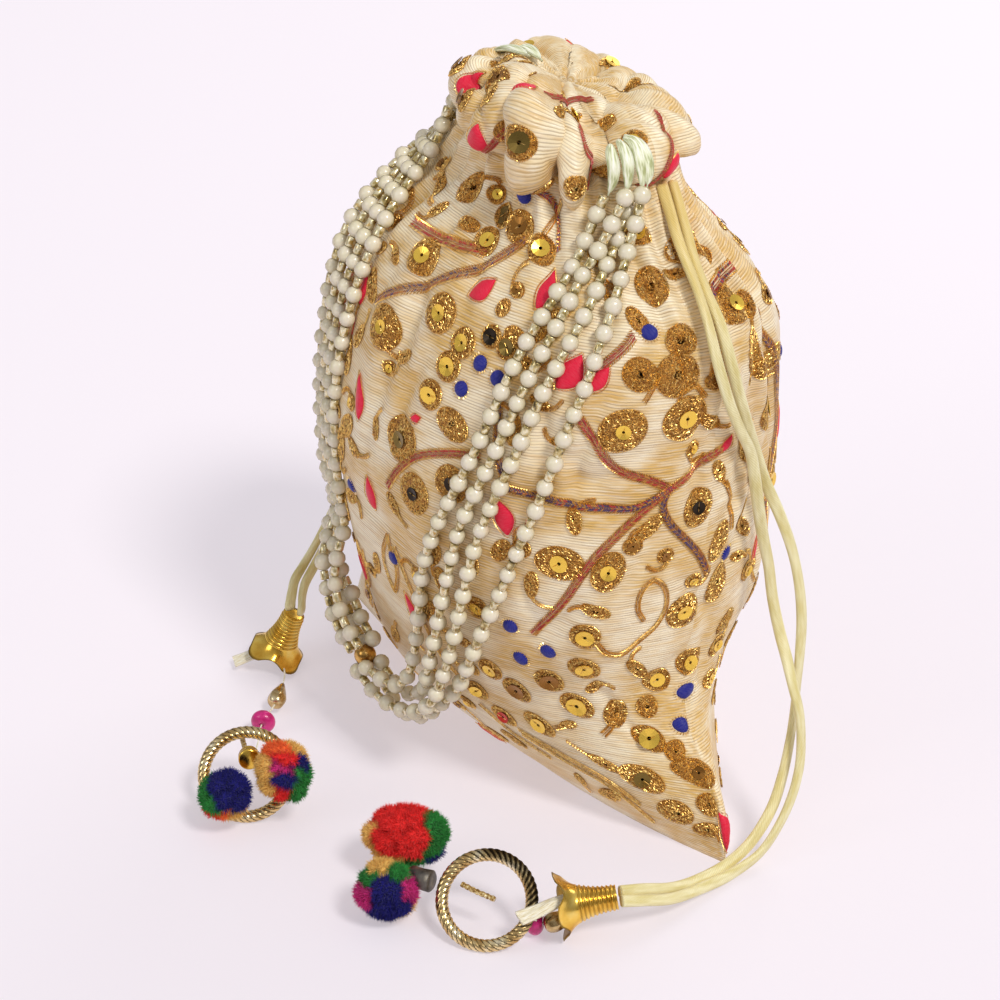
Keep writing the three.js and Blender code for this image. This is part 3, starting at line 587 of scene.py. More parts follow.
# vines, as places that a braid of these threads runs through
VINES = (
    (RED_SILK, COPPER_SILK, (
        (2, 119), (355, 115), (346, 110), (336, 101), (328, 91), (321, 77), (313, 64))),
    (NAVY_SILK, RED_SILK, ((306, 108), (316, 107), (327, 106), (337, 106), (344, 109), (347, 111))),
    (RED_SILK, COPPER_SILK, ((320, 131), (326, 124), (332, 117), (340, 114), (346, 111))),
    (NAVY_SILK, COPPER_SILK, ((346, 110), (345, 106), (347, 101), (353, 94), (358, 88), (2, 81))),
    (COPPER_SILK, NAVY_SILK, ((254, 138), (270, 150), (283, 158), (289, 162), (294, 166))),
    (RED_SILK, COPPER_SILK, ((251, 158), (267, 159), (281, 161))),
    (RED_SILK, COPPER_SILK, ((270, 93), (274, 100), (280, 107), (289, 112), (298, 115))),
    (RED_SILK, NAVY_SILK, ((27, 160), (14, 160), (359, 157))),
    (NAVY_SILK, COPPER_SILK, ((299, 134), (301, 124), (303, 116), (306, 108))),
    (RED_SILK, NAVY_SILK, ((307, 166), (306, 172), (301, 177), (293, 179))),
    (RED_SILK, COPPER_SILK, ((323, 145), (329, 150), (331, 152))),
    (COPPER_SILK, NAVY_SILK, ((28, 150), (36, 128), (40, 108), (38, 84), (44, 60), (58, 40))),
)
# gold scrolls, outlines and bands of couched thread
SCROLLS = (
    ((330, 65), (333, 61), (337, 60), (342, 64), (347, 69), (349, 75), (347.5, 81), (344, 84), (341, 81),
     (340.5, 75), (342.5, 71)),
    ((296, 23), (303, 19), (313, 14), (317, 9), (320, 5)), ((296, 24.5), (304, 21), (314, 16), (319, 11)),
    ((288, 29), (292, 22), (299, 17)), ((323, 31), (327, 34), (330, 38)), ((5, 108), (9, 100), (10, 92)),
    ((248, 62), (251, 55), (248, 47), (245, 54), (248, 62)),
    ((268, 76), (271, 67), (268, 58), (265, 67), (268, 76)),
    ((271, 74), (278, 60), (284, 44), (288, 36)), ((335, 137), (338, 143)),
    ((344, 137), (349, 140), (354, 136)), ((300, 166), (304, 172), (309, 176)),
    ((14, 134), (19, 139), (17, 146), (12, 143)),
)


def stitch_object():
    """One short stitch of metal thread, a slim six-faced spindle one unit long, with an edge on top."""
    tips = [(0.56, 0, 0), (-0.3, 0.5, 0), (-0.3, -0.5, 0), (0, 0, 0.5), (0, 0, -0.5)]
    faces = [(i, (i + 1) % 3, 3) for i in range(3)] + [((i + 1) % 3, i, 4) for i in range(3)]
    return piece("stitch", np.array(tips) / MM, faces, smooth=False)


def spangle_object():
    """A cupped round spangle of unit radius with a needle hole, a closed thin disc."""
    sides = 12
    turns = turns_of(sides)
    rows = [(0.2, 0.06), (1.0, 0.2), (1.0, 0.12), (0.2, -0.02)]
    points = [(r * math.cos(t), r * math.sin(t), z) for r, z in rows for t in turns]
    faces = strip_faces(4, sides)
    faces += [(3 * sides + i, 3 * sides + (i + 1) % sides, (i + 1) % sides, i) for i in range(sides)]
    return piece("spangle", np.array(points) / MM, [face[::-1] for face in faces], smooth=False)


def begun_tree(name, **kinds):
    """A geometry tree with its inputs: its wiring, its geometry, the piece it repeats, and the others."""
    tree = bpy.data.node_groups.new(name, "GeometryNodeTree")
    kinds = {"Geometry": "Geometry", "Piece": "Object", "Finish": "Material", **kinds}
    for title, kind in kinds.items():
        tree.interface.new_socket(title, in_out="INPUT", socket_type=f"NodeSocket{kind}")
    tree.interface.new_socket("Geometry", in_out="OUTPUT", socket_type="NodeSocketGeometry")
    nodes = Wiring(tree)
    given = tree.nodes.new("NodeGroupInput")
    geometry, repeated, finish, *others = (Wire(nodes, given.outputs[title]) for title in kinds)
    part = nodes.node(
        "GeometryNodeObjectInfo", {"transform_space": "ORIGINAL"}, {"Object": repeated}, "Geometry")
    return nodes, geometry, part, finish, *others


def ended_tree(nodes, made, finish):
    """Turns what a geometry tree has made into plain mesh of one material."""
    real = nodes.node("GeometryNodeRealizeInstances", {}, {"Geometry": made})
    done = nodes.node("GeometryNodeSetMaterial", {}, {"Geometry": real, "Material": finish})
    nodes.join(done, nodes.tree.nodes.new("NodeGroupOutput").inputs[0])
    return nodes.tree


def sewn_tree():
    """Puts a piece on every point, turned to the point's own directions and scaled to its size."""
    nodes, points, part, finish = begun_tree("sewn")

    def held(name):
        return nodes.node("GeometryNodeInputNamedAttribute", {"data_type": "FLOAT_VECTOR"}, {"Name": name})

    turn = nodes.node("FunctionNodeAxesToRotation", {"primary_axis": "Z", "secondary_axis": "X"},
                      {"Primary Axis": held("along"), "Secondary Axis": held("up")})
    placed = nodes.node("GeometryNodeInstanceOnPoints", {},
                        {"Points": points, "Instance": part, "Rotation": turn, "Scale": held("size")})
    return ended_tree(nodes, placed, finish)


def settled(item, tree, **inputs):
    """Runs a geometry tree on an item with these inputs and keeps what it makes as a plain mesh."""
    modifier = item.modifiers.new(tree.name, "NODES")
    modifier.node_group = tree
    for socket in tree.interface.items_tree:
        if socket.in_out == "INPUT" and socket.name in inputs:
            modifier[socket.identifier] = inputs[socket.name]
    graph = bpy.context.evaluated_depsgraph_get()
    made = bpy.data.meshes.new_from_object(item.evaluated_get(graph), depsgraph=graph)
    item.modifiers.clear()
    made.name = item.name
    if item.type == "MESH":
        item.data = made
    else:
        old, name = item, item.name
        bpy.data.objects.remove(old)
        item = shown(bpy.data.objects.new(name, made))
    for name in ("along", "up", "size"):
        if name in made.attributes:
            made.attributes.remove(made.attributes[name])
    return item


def dyed(mesh, colours, domain="POINT"):
    store = mesh.attributes.new("thread", "FLOAT_COLOR", domain)
    store.data.foreach_set("color", np.asarray(colours).astype(np.float32).ravel())


class Needle:
    """Collects points, directions, sizes and colours of what is sewn on, one row for each piece."""

    def __init__(self):
        self.rows = []

    def sew(self, points, along, up, size, colour):
        count = len(points)
        size, colour = np.broadcast_to(size, (count, 3)), np.broadcast_to(colour, (count, 4))
        self.rows.append(np.hstack([points, along, up, size, colour]))

    def lay(self, angle, place, spots, directions, lift, size, colour, pitch=0.0):
        """Stitches at spots in millimetres beside a place, at directions in radians across the cloth."""
        spots, directions = np.asarray(spots, float), np.asarray(directions, float)
        here = cloth_at(*beside(angle, place, spots[:, 0], spots[:, 1]), lift)
        ahead = spots + AHEAD * np.stack([np.cos(directions), np.sin(directions)], -1)
        there = cloth_at(*beside(angle, place, ahead[:, 0], ahead[:, 1]), np.asarray(lift) + pitch)
        up = cloth_at(*beside(angle, place, spots[:, 0], spots[:, 1]), field="normal")
        self.sew(here, there - here, up, size, colour)

    def finished(self, name, sewn, finish):
        rows = np.vstack(self.rows)
        mesh = bpy.data.meshes.new(name)
        mesh.from_pydata((rows[:, :3] * MM).tolist(), [], [])
        for title, start in (("along", 3), ("up", 6), ("size", 9)):
            store = mesh.attributes.new(title, "FLOAT_VECTOR", "POINT")
            values = rows[:, start:start + 3] * (MM if title == "size" else 1)
            store.data.foreach_set("vector", values.astype(np.float32).ravel())
        dyed(mesh, rows[:, 12:])
        item = shown(bpy.data.objects.new(name, mesh))
        return settled(item, sewn_tree(), Piece=sewn, Finish=finish)


def turned(spots, degrees):
    cosine, sine = math.cos(math.radians(degrees)), math.sin(math.radians(degrees))
    return np.asarray(spots) @ np.array([[cosine, sine], [-sine, cosine]])


rng = np.random.default_rng(4)


def shades(count, colours=ZARI_SHADES):
    return np.array(colours)[rng.integers(0, len(colours), count)]


vines, spangles, zari_parts = Needle(), Needle(), {}
ground_points, ground_faces = [], []


def ground(angle, place, spots, rings, sides, lifts):
    """A low padded patch of closely sewn thread under the loose stitches."""
    start = len(ground_points)
    lift = np.repeat(lifts, sides)
    where = cloth_at(*beside(angle, place, spots[:, 0], spots[:, 1]), lift)
    ground_points.extend(where.tolist())
    ground_faces.extend(face[::-1] for face in strip_faces(rings, sides, start))
    ground_faces.append([start + (rings - 1) * sides + i for i in range(sides)])


def scattered(angle, place, half_length, half_width, turn, hole=0.0):
    """Fills an oval with short gold stitches that lie every way, and edges it with a couched thread."""
    sides = 16
    turns = turns_of(sides)
    circle = np.stack([np.cos(turns), np.sin(turns)], -1)
    oval = np.array([half_length, half_width])
    spots = np.concatenate([turned(circle * oval * share, turn) for share in (1.0, 0.93, 0.6, 0.2)])
    ground(angle, place, spots, 4, sides, [-0.1, 0.2, 0.3, 0.32])
    area = math.pi * (half_length * half_width - hole * hole)
    count = int(area * SCATTER_DENSITY)
    radius = np.sqrt(rng.uniform((hole / half_width) ** 2, 0.9, count))
    way = rng.uniform(0, 2 * math.pi, count)
    spots = turned(np.stack([np.cos(way), np.sin(way)], -1) * oval * radius[:, None], turn)
    thick, wide = np.full(count, 0.24), rng.uniform(0.28, 0.44, count)
    size = np.stack([thick, wide, rng.uniform(0.8, 1.4, count)], -1)
    directions, lifts = rng.uniform(0, math.pi, count), rng.uniform(0.3, 0.5, count)
    zari.lay(angle, place, spots, directions, lifts, size, shades(count), rng.uniform(-0.1, 0.1, count))
    edge = int(math.pi * (half_length + half_width) / COUCHED_PITCH)
    way = turns_of(edge)
    spots = turned(np.stack([np.cos(way), np.sin(way)], -1) * oval * 0.97, turn)
    tangent = np.arctan2(half_width * np.cos(way), -half_length * np.sin(way)) + math.radians(turn)
    zari.lay(angle, place, spots, tangent + 0.5, np.full(edge, 0.34), (0.3, 0.34, 0.95), shades(edge))


def spangle(angle, place, radius, colour):
    """A spangle held by one stitch from its hole over its edge."""
    lift = 0.62
    point = cloth_at(np.array([angle]), np.array([place]), np.array([lift]))
    normal = cloth_at(np.array([angle]), np.array([place]), field="normal")
    side = cloth_at(np.array([angle + 1.0]), np.array([place]), np.array([lift])) - point
    tip = normal + side / np.linalg.norm(side) * rng.normal(0, 0.09) + [0, 0, rng.normal(0, 0.07)]
    spangles.sew(point, tip, side, (radius, radius, radius), colour)
    way = rng.uniform(0, 2 * math.pi)
    reach = radius * 0.95
    x, y = math.cos(way) * reach / 2, math.sin(way) * reach / 2
    lifts = np.full(2, lift + 0.28)
    zari.lay(angle, place, [(x, y), (-x, -y)], [way, way], lifts, (0.2, 0.24, reach), shades(2))


def through(points, pitch):
    """Places a pitch apart on a smooth curve through places given as angle and height."""
    points = np.array(points, float)
    points[:, 0] = np.unwrap(points[:, 0], period=360) * MM_PER_DEGREE
    knots = np.concatenate([[0], np.cumsum(np.linalg.norm(np.diff(points, axis=0), axis=1))])
    at = np.linspace(0, knots[-1], max(3, int(knots[-1] / pitch)))
    if len(points) > 2:
        curve = smooth_rows(np.column_stack([knots, points]), at)
    else:
        curve = np.column_stack([np.interp(at, knots, points[:, k]) for k in (0, 1)])
    headings = np.arctan2(*np.gradient(curve, axis=0).T[::-1])
    return curve[:, 0] / MM_PER_DEGREE, curve[:, 1], headings


def braid(needle, route, half_width, lift, length, colours=ZARI_SHADES, pitch=BRAID_PITCH):
    """A row of slanting stitches on each side of a line and one on it, as a braided thread shows."""
    at, place, heading = through(route, pitch)
    up = cloth_at(at, place, field="normal")
    for side in (-1, 1, 0):
        across, raised = side * half_width, lift + 0.12 * (side == 0)
        row_at = at - across * np.sin(heading) / MM_PER_DEGREE
        row_place = place + across * np.cos(heading)
        slant = heading - side * SLANT
        where = cloth_at(row_at, row_place, raised)
        ahead = cloth_at(
            row_at + AHEAD * np.cos(slant) / MM_PER_DEGREE, row_place + AHEAD * np.sin(slant), raised)
        thickness = 0.4 if side else 0.3
        size = (thickness, thickness, length)
        needle.sew(where, ahead - where, up, size, shades(len(at), colours))


satin_points, satin_faces, satin_maps, satin_dyes = [], [], [], []
LEAF_RED, DOT_BLUE = dye(230, 10, 58), dye(2, 24, 132)


def satin_patch(angle, place, spots, rows, columns, lifts, threads, colour):
    """A raised patch of satin stitch, as rows of spots that each run across it."""
    start = len(satin_points)
    satin_points.extend(cloth_at(*beside(angle, place, spots[:, 0], spots[:, 1]), lifts).tolist())
    for face in strip_faces(rows, columns, start, closed=False):
        satin_faces.append(face)
        satin_dyes.append(colour)
    satin_maps.extend(threads.tolist())


def red_leaf(angle, place, half_length, half_width, turn):
    """A pointed leaf of satin stitch with a couched gold edge."""
    rows, columns = 21, 9
    t, s = np.meshgrid(np.linspace(-1, 1, rows), np.linspace(-1, 1, columns), indexing="ij")
    width = half_width * (1 - np.abs(t) ** 1.8) * (1 - 0.25 * t)
    bend = 0.12 * half_length * (t**2 - 0.5)
    spots = turned(np.stack([t * half_length, s * width + bend], -1).reshape(-1, 2), turn)
    dome = (1 - s**2) ** 0.6 * (1 - t**4) ** 0.5
    lifts = (dome * 0.95 - 0.12).ravel()
    threads = np.stack([t * half_length, s * half_width], -1).reshape(-1, 2)
    satin_patch(angle, place, spots, rows, columns, lifts, threads, LEAF_RED)
    for side in (-1, 1):
        count = int(half_length * 4.4)
        t = np.linspace(-1, 1, count)
        width = half_width * (1 - np.abs(t) ** 1.8) * (1 - 0.25 * t) + 0.25
        bend = 0.12 * half_length * (t**2 - 0.5)
        spots = turned(np.stack([t * half_length * 1.04, side * width + bend], -1), turn)
        heading = np.arctan2(*np.gradient(spots, axis=0).T[::-1]) + side * 0.5
        zari.lay(angle, place, spots, heading, np.full(count, 0.36), (0.3, 0.3, 0.95), shades(count))


def blue_dot(angle, place):
    """A padded satin dot with a picot edge."""
    rows, columns = 13, 9
    t, s = np.meshgrid(np.linspace(-1, 1, rows), np.linspace(-1, 1, columns), indexing="ij")
    width = np.sqrt(1 - np.minimum(np.abs(t), 0.999) ** 2)
    spots = np.stack([t, s * width], -1).reshape(-1, 2) * DOT_RADIUS
    lifts = (np.sqrt(np.clip(1 - t**2 - (s * width) ** 2, 0, 1)) * 1.1 - 0.1).ravel()
    threads = np.stack([t, s], -1).reshape(-1, 2) * DOT_RADIUS
    spots = turned(spots, rng.uniform(0, 180))
    satin_patch(angle, place, spots, rows, columns, lifts, threads, DOT_BLUE)
    count = 22
    way = turns_of(count)
    spots = np.stack([np.cos(way), np.sin(way)], -1) * (DOT_RADIUS + 0.3)
    directions = way + rng.normal(0, 0.2, count)
    colours = shades(count, (ZARI_SHADES[2], ZARI_SHADES[4], dye(250, 232, 214)))
    zari.lay(angle, place, spots, directions, np.full(count, 0.35), (0.26, 0.28, 0.95), colours)


def bare_spots():
    """Places with room for a sprig between everything that the pattern already holds."""
    taken = [coin[:3] for coin in COINS]
    taken += [(leaf[0], leaf[1], leaf[3]) for leaf in GOLD_LEAVES + RED_LEAVES]
    taken += [(*dot, DOT_RADIUS) for dot in BLUE_DOTS]
    for route in [vine[2] for vine in VINES] + list(SCROLLS):
        at, place, _ = through(route, 5)
        taken += [(a, p, 1.5) for a, p in zip(at, place)]
    search, found = np.random.default_rng(21), []
    for _ in range(6000):
        angle, place, size = search.uniform(0, REPEAT), search.uniform(9, 174), search.uniform(2.2, 3.6)
        by_corner = abs((angle + 90) % REPEAT - 90) < CORNER_MARGIN and place < SEAM_FADE_HEIGHT
        if not by_corner and len(found) < SPRIG_COUNT and min(
            math.hypot(((angle - a + 90) % REPEAT - 90) * WIDE_DEGREE, place - p) - r for a, p, r in taken
        ) > SPRIG_ROOM + size * 0.5:
            found.append((angle, place, size, search.uniform(0, 360), search.uniform(-1, 1)))
            taken.append((angle, place, size + 1.5))
    return found


def sprig(angle, place, size, turn, bend):
    """A small gold leaf or spangled round on a curled stem."""
    if abs(bend) > 0.55:
        scattered(angle, place, size * 0.95, size * 0.9, 0, hole=size * 0.3)
        spangle(angle, place, size * 0.5, GOLD_SPANGLE if bend > 0 else BROWN_SPANGLE)
    else:
        scattered(angle, place, size * 1.25, size * 0.62, turn)
    steps = np.linspace(0, 1, 5)
    way = np.radians(turn) + bend * 1.6 * steps
    reach = size * (0.9 + 1.5 * steps)
    at = angle + reach * np.cos(way) / WIDE_DEGREE
    stem = list(zip(at, np.clip(place + reach * np.sin(way), 3, 176)))
    braid(zari, stem, 0.45, 0.34, 1.2)


sprigs = bare_spots()
for half, name in ((0, ""), (REPEAT, "_back")):
    zari = zari_parts["coin_stitches" + name] = Needle()
    for angle, place, radius, core, colour, *oval in COINS:
        squeeze, turn = oval or (1, 0)
        scattered(angle + half, place, radius, radius * squeeze, turn, hole=core * squeeze * 0.7)
        spangle(angle + half, place, core, colour)
    zari = zari_parts["zari_stitches" + name] = Needle()
    for angle, place, half_length, half_width, turn in GOLD_LEAVES:
        scattered(angle + half, place, half_length, half_width, turn)
    for leaf in RED_LEAVES:
        red_leaf(leaf[0] + half, *leaf[1:])
    for angle, place in BLUE_DOTS:
        blue_dot(angle + half, place)
    for first, second, route in VINES:
        route = [(angle + half, place) for angle, place in route]
        braid(vines, route, 0.55, 0.36, 1.35, (first, first, second, ZARI_SHADES[1]))
        braid(zari, route, 1.15, 0.36, 1.2, pitch=EDGE_PITCH)
    for route in SCROLLS:
        braid(zari, [(angle + half, place) for angle, place in route], 0.6, 0.34, 1.3)
    for angle, *shape in sprigs:
        sprig(angle + half, *shape)

zari = zari_parts["zari_stitches"]
red_leaf(*CORNER_LEAF)

# the frill carries the same pattern, past the height of the channel
FRILL_RED = (
    (269, 192, 4.9, 3.6, 70), (292, 207, 4.9, 3.2, 60), (12, 194, 4.2, 3.0, 40), (90, 196, 4.6, 3.0, 60),
    (190, 194, 4.6, 3.0, 120), (230, 200, 4.4, 2.8, 60), (140, 203, 4.6, 3.0, 20),
)
FRILL_COINS = (
    (299, 197, 5.2, 2.9, OLIVE_SPANGLE), (258, 206, 4.6, 2.4, BROWN_SPANGLE), (322, 194, 3.6, 0, None),
    (246, 198, 4.2, 2.2, BROWN_SPANGLE), (216, 200, 4.2, 2.2, BROWN_SPANGLE),
    (60, 193, 4.2, 2.2, GOLD_SPANGLE), (124, 192, 4.2, 2.2, GOLD_SPANGLE),
    (158, 194, 4.0, 2.2, OLIVE_SPANGLE), (282, 213, 3.8, 0, None), (322, 208, 4.0, 2.3, GOLD_SPANGLE),
    (254, 214, 3.8, 0, None), (108, 205, 3.8, 2.1, GOLD_SPANGLE), (75, 206, 3.6, 0, None),
    (170, 206, 3.6, 2.0, GOLD_SPANGLE), (215, 210, 4.0, 0, None), (345, 207, 3.6, 0, None),
    (310, 214, 3.6, 0, None), (232, 212, 3.6, 0, None), (337, 189, 4.2, 0, None),
    (310, 204, 4.2, 0, None), (283, 195, 4.0, 0, None), (352, 200, 4.0, 2.1, GOLD_SPANGLE),
    (270, 202, 4.2, 0, None), (305, 187, 3.4, 0, None),
)
FRILL_VINES = (
    ((352, 186), (2, 192), (12, 199), (20, 204)), ((262, 184), (275, 190), (285, 197)),
    ((325, 186), (330, 196), (324, 204)), ((300, 209), (320, 213), (345, 214)),
)
zari = zari_parts["zari_stitches_frill"] = Needle()
for leaf in FRILL_RED:
    red_leaf(*leaf)
for angle, place, radius, core, colour in FRILL_COINS:
    scattered(angle, place, radius, radius * 0.85, 30, hole=core * 0.7)
    if core:
        spangle(angle, place, core, colour)
for route in FRILL_VINES:
    braid(vines, route, 0.55, 0.36, 1.35, (RED_SILK, RED_SILK, COPPER_SILK))

zari_metal = Finish("zari_thread", Metallic=0.9, Roughness=0.34)
zari_metal.feed("Base Color", zari_metal.blend(
    zari_metal.noise(zari_metal.place(), 900), zari_metal.dyed(), dye(236, 196, 120)))
zari_backing = Finish("zari_backing", Metallic=0.55, Roughness=0.5)
grain = zari_backing.noise(zari_backing.place(), 2600, 3)
zari_backing.feed("Base Color", zari_backing.ramp(
    grain, (0.35, dye(104, 62, 22)), (0.5, dye(168, 112, 42)), (0.66, dye(224, 172, 80))))
zari_backing.relief(grain, 0.25, 0.9)
silk_thread = Finish("vine_thread", Roughness=0.4, Sheen_Weight=0.2)
silk_thread.feed("Base Color", silk_thread.blend(
    silk_thread.noise(silk_thread.place(), 1500) * 0.25, silk_thread.dyed(), dye(226, 170, 120)))
foil = Finish("spangle_foil", Metallic=0.75, Roughness=0.26)
foil.feed("Base Color", foil.dyed())
satin = Finish("satin_stitch", Roughness=0.45, Sheen_Weight=0.02)
satin.shader.inputs["Specular IOR Level"].default_value = 0.2
strand = satin.mapped("threads")
fibre = satin.fibres(strand, 3.4, 0.5)
row = (satin.axis(strand, "X") * (2 * math.pi / SATIN_PITCH) + fibre * 5).sine() * 0.5 + 0.5
pale = satin.clamped(fibre, 0.3, 0.7) * 0.05
satin.feed("Base Color", satin.blend(pale, satin.dyed(), dye(255, 236, 240)))
satin.feed("Roughness", 0.3 + row * 0.16)
satin.relief(row * 0.5 + fibre * 0.5, 0.12, 0.8)

stitch, disc = stitch_object(), spangle_object()
needlework = [(needle, name, stitch, zari_metal) for name, needle in zari_parts.items()]
needlework += [(vines, "vine_stitches", stitch, silk_thread), (spangles, "spangles", disc, foil)]
for needle, name, sewn, finish in needlework:
    item = needle.finished(name, sewn, finish.material)
    item.data.polygons.foreach_set("use_smooth", [False] * len(item.data.polygons))
    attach(item, "root")
for sewn in (stitch, disc):
    bpy.data.objects.remove(sewn)

backing = piece("zari_backing", ground_points, ground_faces, zari_backing.material)
leaves = piece("satin_work", satin_points, satin_faces, satin.material)
threads = leaves.data.uv_layers.new(name="threads")
corners = np.zeros(len(leaves.data.loops), int)
leaves.data.loops.foreach_get("vertex_index", corners)
threads.data.foreach_set("uv", np.array(satin_maps, np.float32)[corners].ravel())
dyed(leaves.data, np.repeat(np.array(satin_dyes), 4, 0), "CORNER")
for item, slot in ((backing, "zari"), (leaves, "satin")):
    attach(item, "root")

# --- The handle -----------------------------------------------------------------------------------
# Four strings of beads, each a fine thread with a round glass pearl and a silver-lined tube bead in
# turn. They are sewn into the frill on each side and meet in one gilt bead at the bottom of the loop.
THREAD_DIAMETER = 0.8
BEAD_PITCH = 3.72
PEARL_RADIUS = 2.42
TUBE_BEAD_RADIUS, TUBE_BEAD_LENGTH, TUBE_BEAD_HOLE = 1.3, 2.7, 0.45
HANDLE_BEAD_CENTRE, HANDLE_BEAD_AXIS = (-16.9, -52, 29.3), (-0.62, 0, 0.78)
HANDLE_BEAD_RADIUS, HANDLE_BEAD_LENGTH, HANDLE_BEAD_HOLE = 3.15, 6, 1.2
STRANDS_RIGHT = (
    (
        (37.7, -13.9, 180.2), (36.9, -16.9, 173), (37.5, -20.8, 166.8), (39.1, -26.2, 161.8),
        (40, -31.4, 156.5), (39.9, -36.3, 150.7), (39.2, -40, 144.4), (38.1, -42.9, 137.8),
        (36.8, -45.3, 131), (35.2, -47.2, 124.2), (33.4, -49.1, 117.4), (31.2, -50.9, 110.7),
        (28.6, -52.3, 104), (25.8, -53.6, 97.4), (22.9, -54.4, 90.8), (20.2, -54.8, 84),
        (17.7, -54.8, 77.2), (15.7, -54.4, 70.2), (14.1, -53.8, 63.1), (12.5, -53.3, 56),
        (11.1, -53.1, 48.9), (9.5, -53.1, 41.7), (7, -53.5, 34.9), (1.9, -54, 29.8), (-5.2, -54.3, 28.3),
        (-12.5, -54.6, 28.2),
    ),
    (
        (42.3, -10.3, 182), (42.6, -14.6, 175.4), (42.6, -18.6, 169.2), (42.5, -23.4, 163.3),
        (44, -28.1, 158.1), (44.9, -32.7, 152.7), (44.6, -36.5, 146.6), (43.6, -39.6, 140.3),
        (42.4, -42.2, 133.7), (41, -44.2, 127.1), (39.3, -46.1, 120.4), (37.4, -47.9, 113.7),
        (35.3, -49.6, 107.1), (32.9, -50.9, 100.5), (30.6, -52, 93.8), (28.7, -52.5, 87), (27.3, -53.1, 80),
        (25.9, -53.6, 73), (24.4, -54, 66), (22.9, -54.1, 59.1), (21.2, -54.3, 52.1), (19.1, -54.2, 45.3),
        (16.4, -53.1, 38.8), (12.3, -51.2, 33.2), (7.1, -49.8, 28.6), (1, -49.1, 25), (-6.1, -49.2, 25),
        (-12.5, -49.4, 28.2),
    ),
    (
        (40.5, -6.4, 180.3), (41.5, -10.1, 173.9), (43.5, -14.3, 168.8), (45.8, -19.2, 164.4),
        (48, -23.6, 159.7), (49.4, -28.4, 154.6), (49.6, -32.5, 148.8), (48.9, -35.9, 142.7),
        (47.7, -38.7, 136.3), (46.3, -40.9, 129.7), (44.8, -42.8, 123), (43.2, -44.6, 116.4),
        (41.3, -46.4, 109.8), (39.2, -47.9, 103.2), (37.1, -49.2, 96.6), (35, -50, 89.8), (33.4, -50.8, 83),
        (32.2, -51.4, 76), (30.8, -51.8, 69.1), (29.1, -51.9, 62.2), (27.2, -52, 55.4), (25.2, -52.2, 48.6),
        (23.2, -52.9, 41.9), (20.7, -53.7, 35.3), (16.2, -54, 29.8), (10.5, -54.1, 25.6), (3.9, -54.1, 23),
        (-3, -54.2, 21.7), (-10.1, -54.4, 22.3), (-16.7, -54.6, 24.8),
    ),
    (
        (44.2, -6.4, 182.4), (45.3, -9, 175.6), (46.1, -11.5, 169.9), (48.7, -15, 165.6),
        (51.6, -18.9, 161), (54.2, -23.2, 156.1), (55.9, -27.1, 150.3), (56.5, -30.2, 143.9),
        (56.1, -32.8, 137.2), (55, -35, 130.5), (53.7, -36.7, 123.7), (52.4, -38.4, 116.8),
        (51, -40.2, 110), (49.4, -41.7, 103.2), (47.4, -43.2, 96.5), (45.3, -44.4, 89.7), (43.1, -45.4, 83),
        (40.8, -46.3, 76.2), (38.3, -47.2, 69.6), (36.1, -48.4, 62.8), (33.7, -49.2, 56.2),
        (30.8, -49.4, 49.6), (27.4, -48.8, 43.3), (23.3, -48.4, 37.4), (18.7, -48.6, 31.9),
        (14, -48.6, 26.5), (8.8, -48.5, 21.6), (2.6, -48.6, 18), (-4.6, -48.7, 17.4), (-11, -49, 20.4),
        (-16.7, -49.4, 24.8),
    ),
)
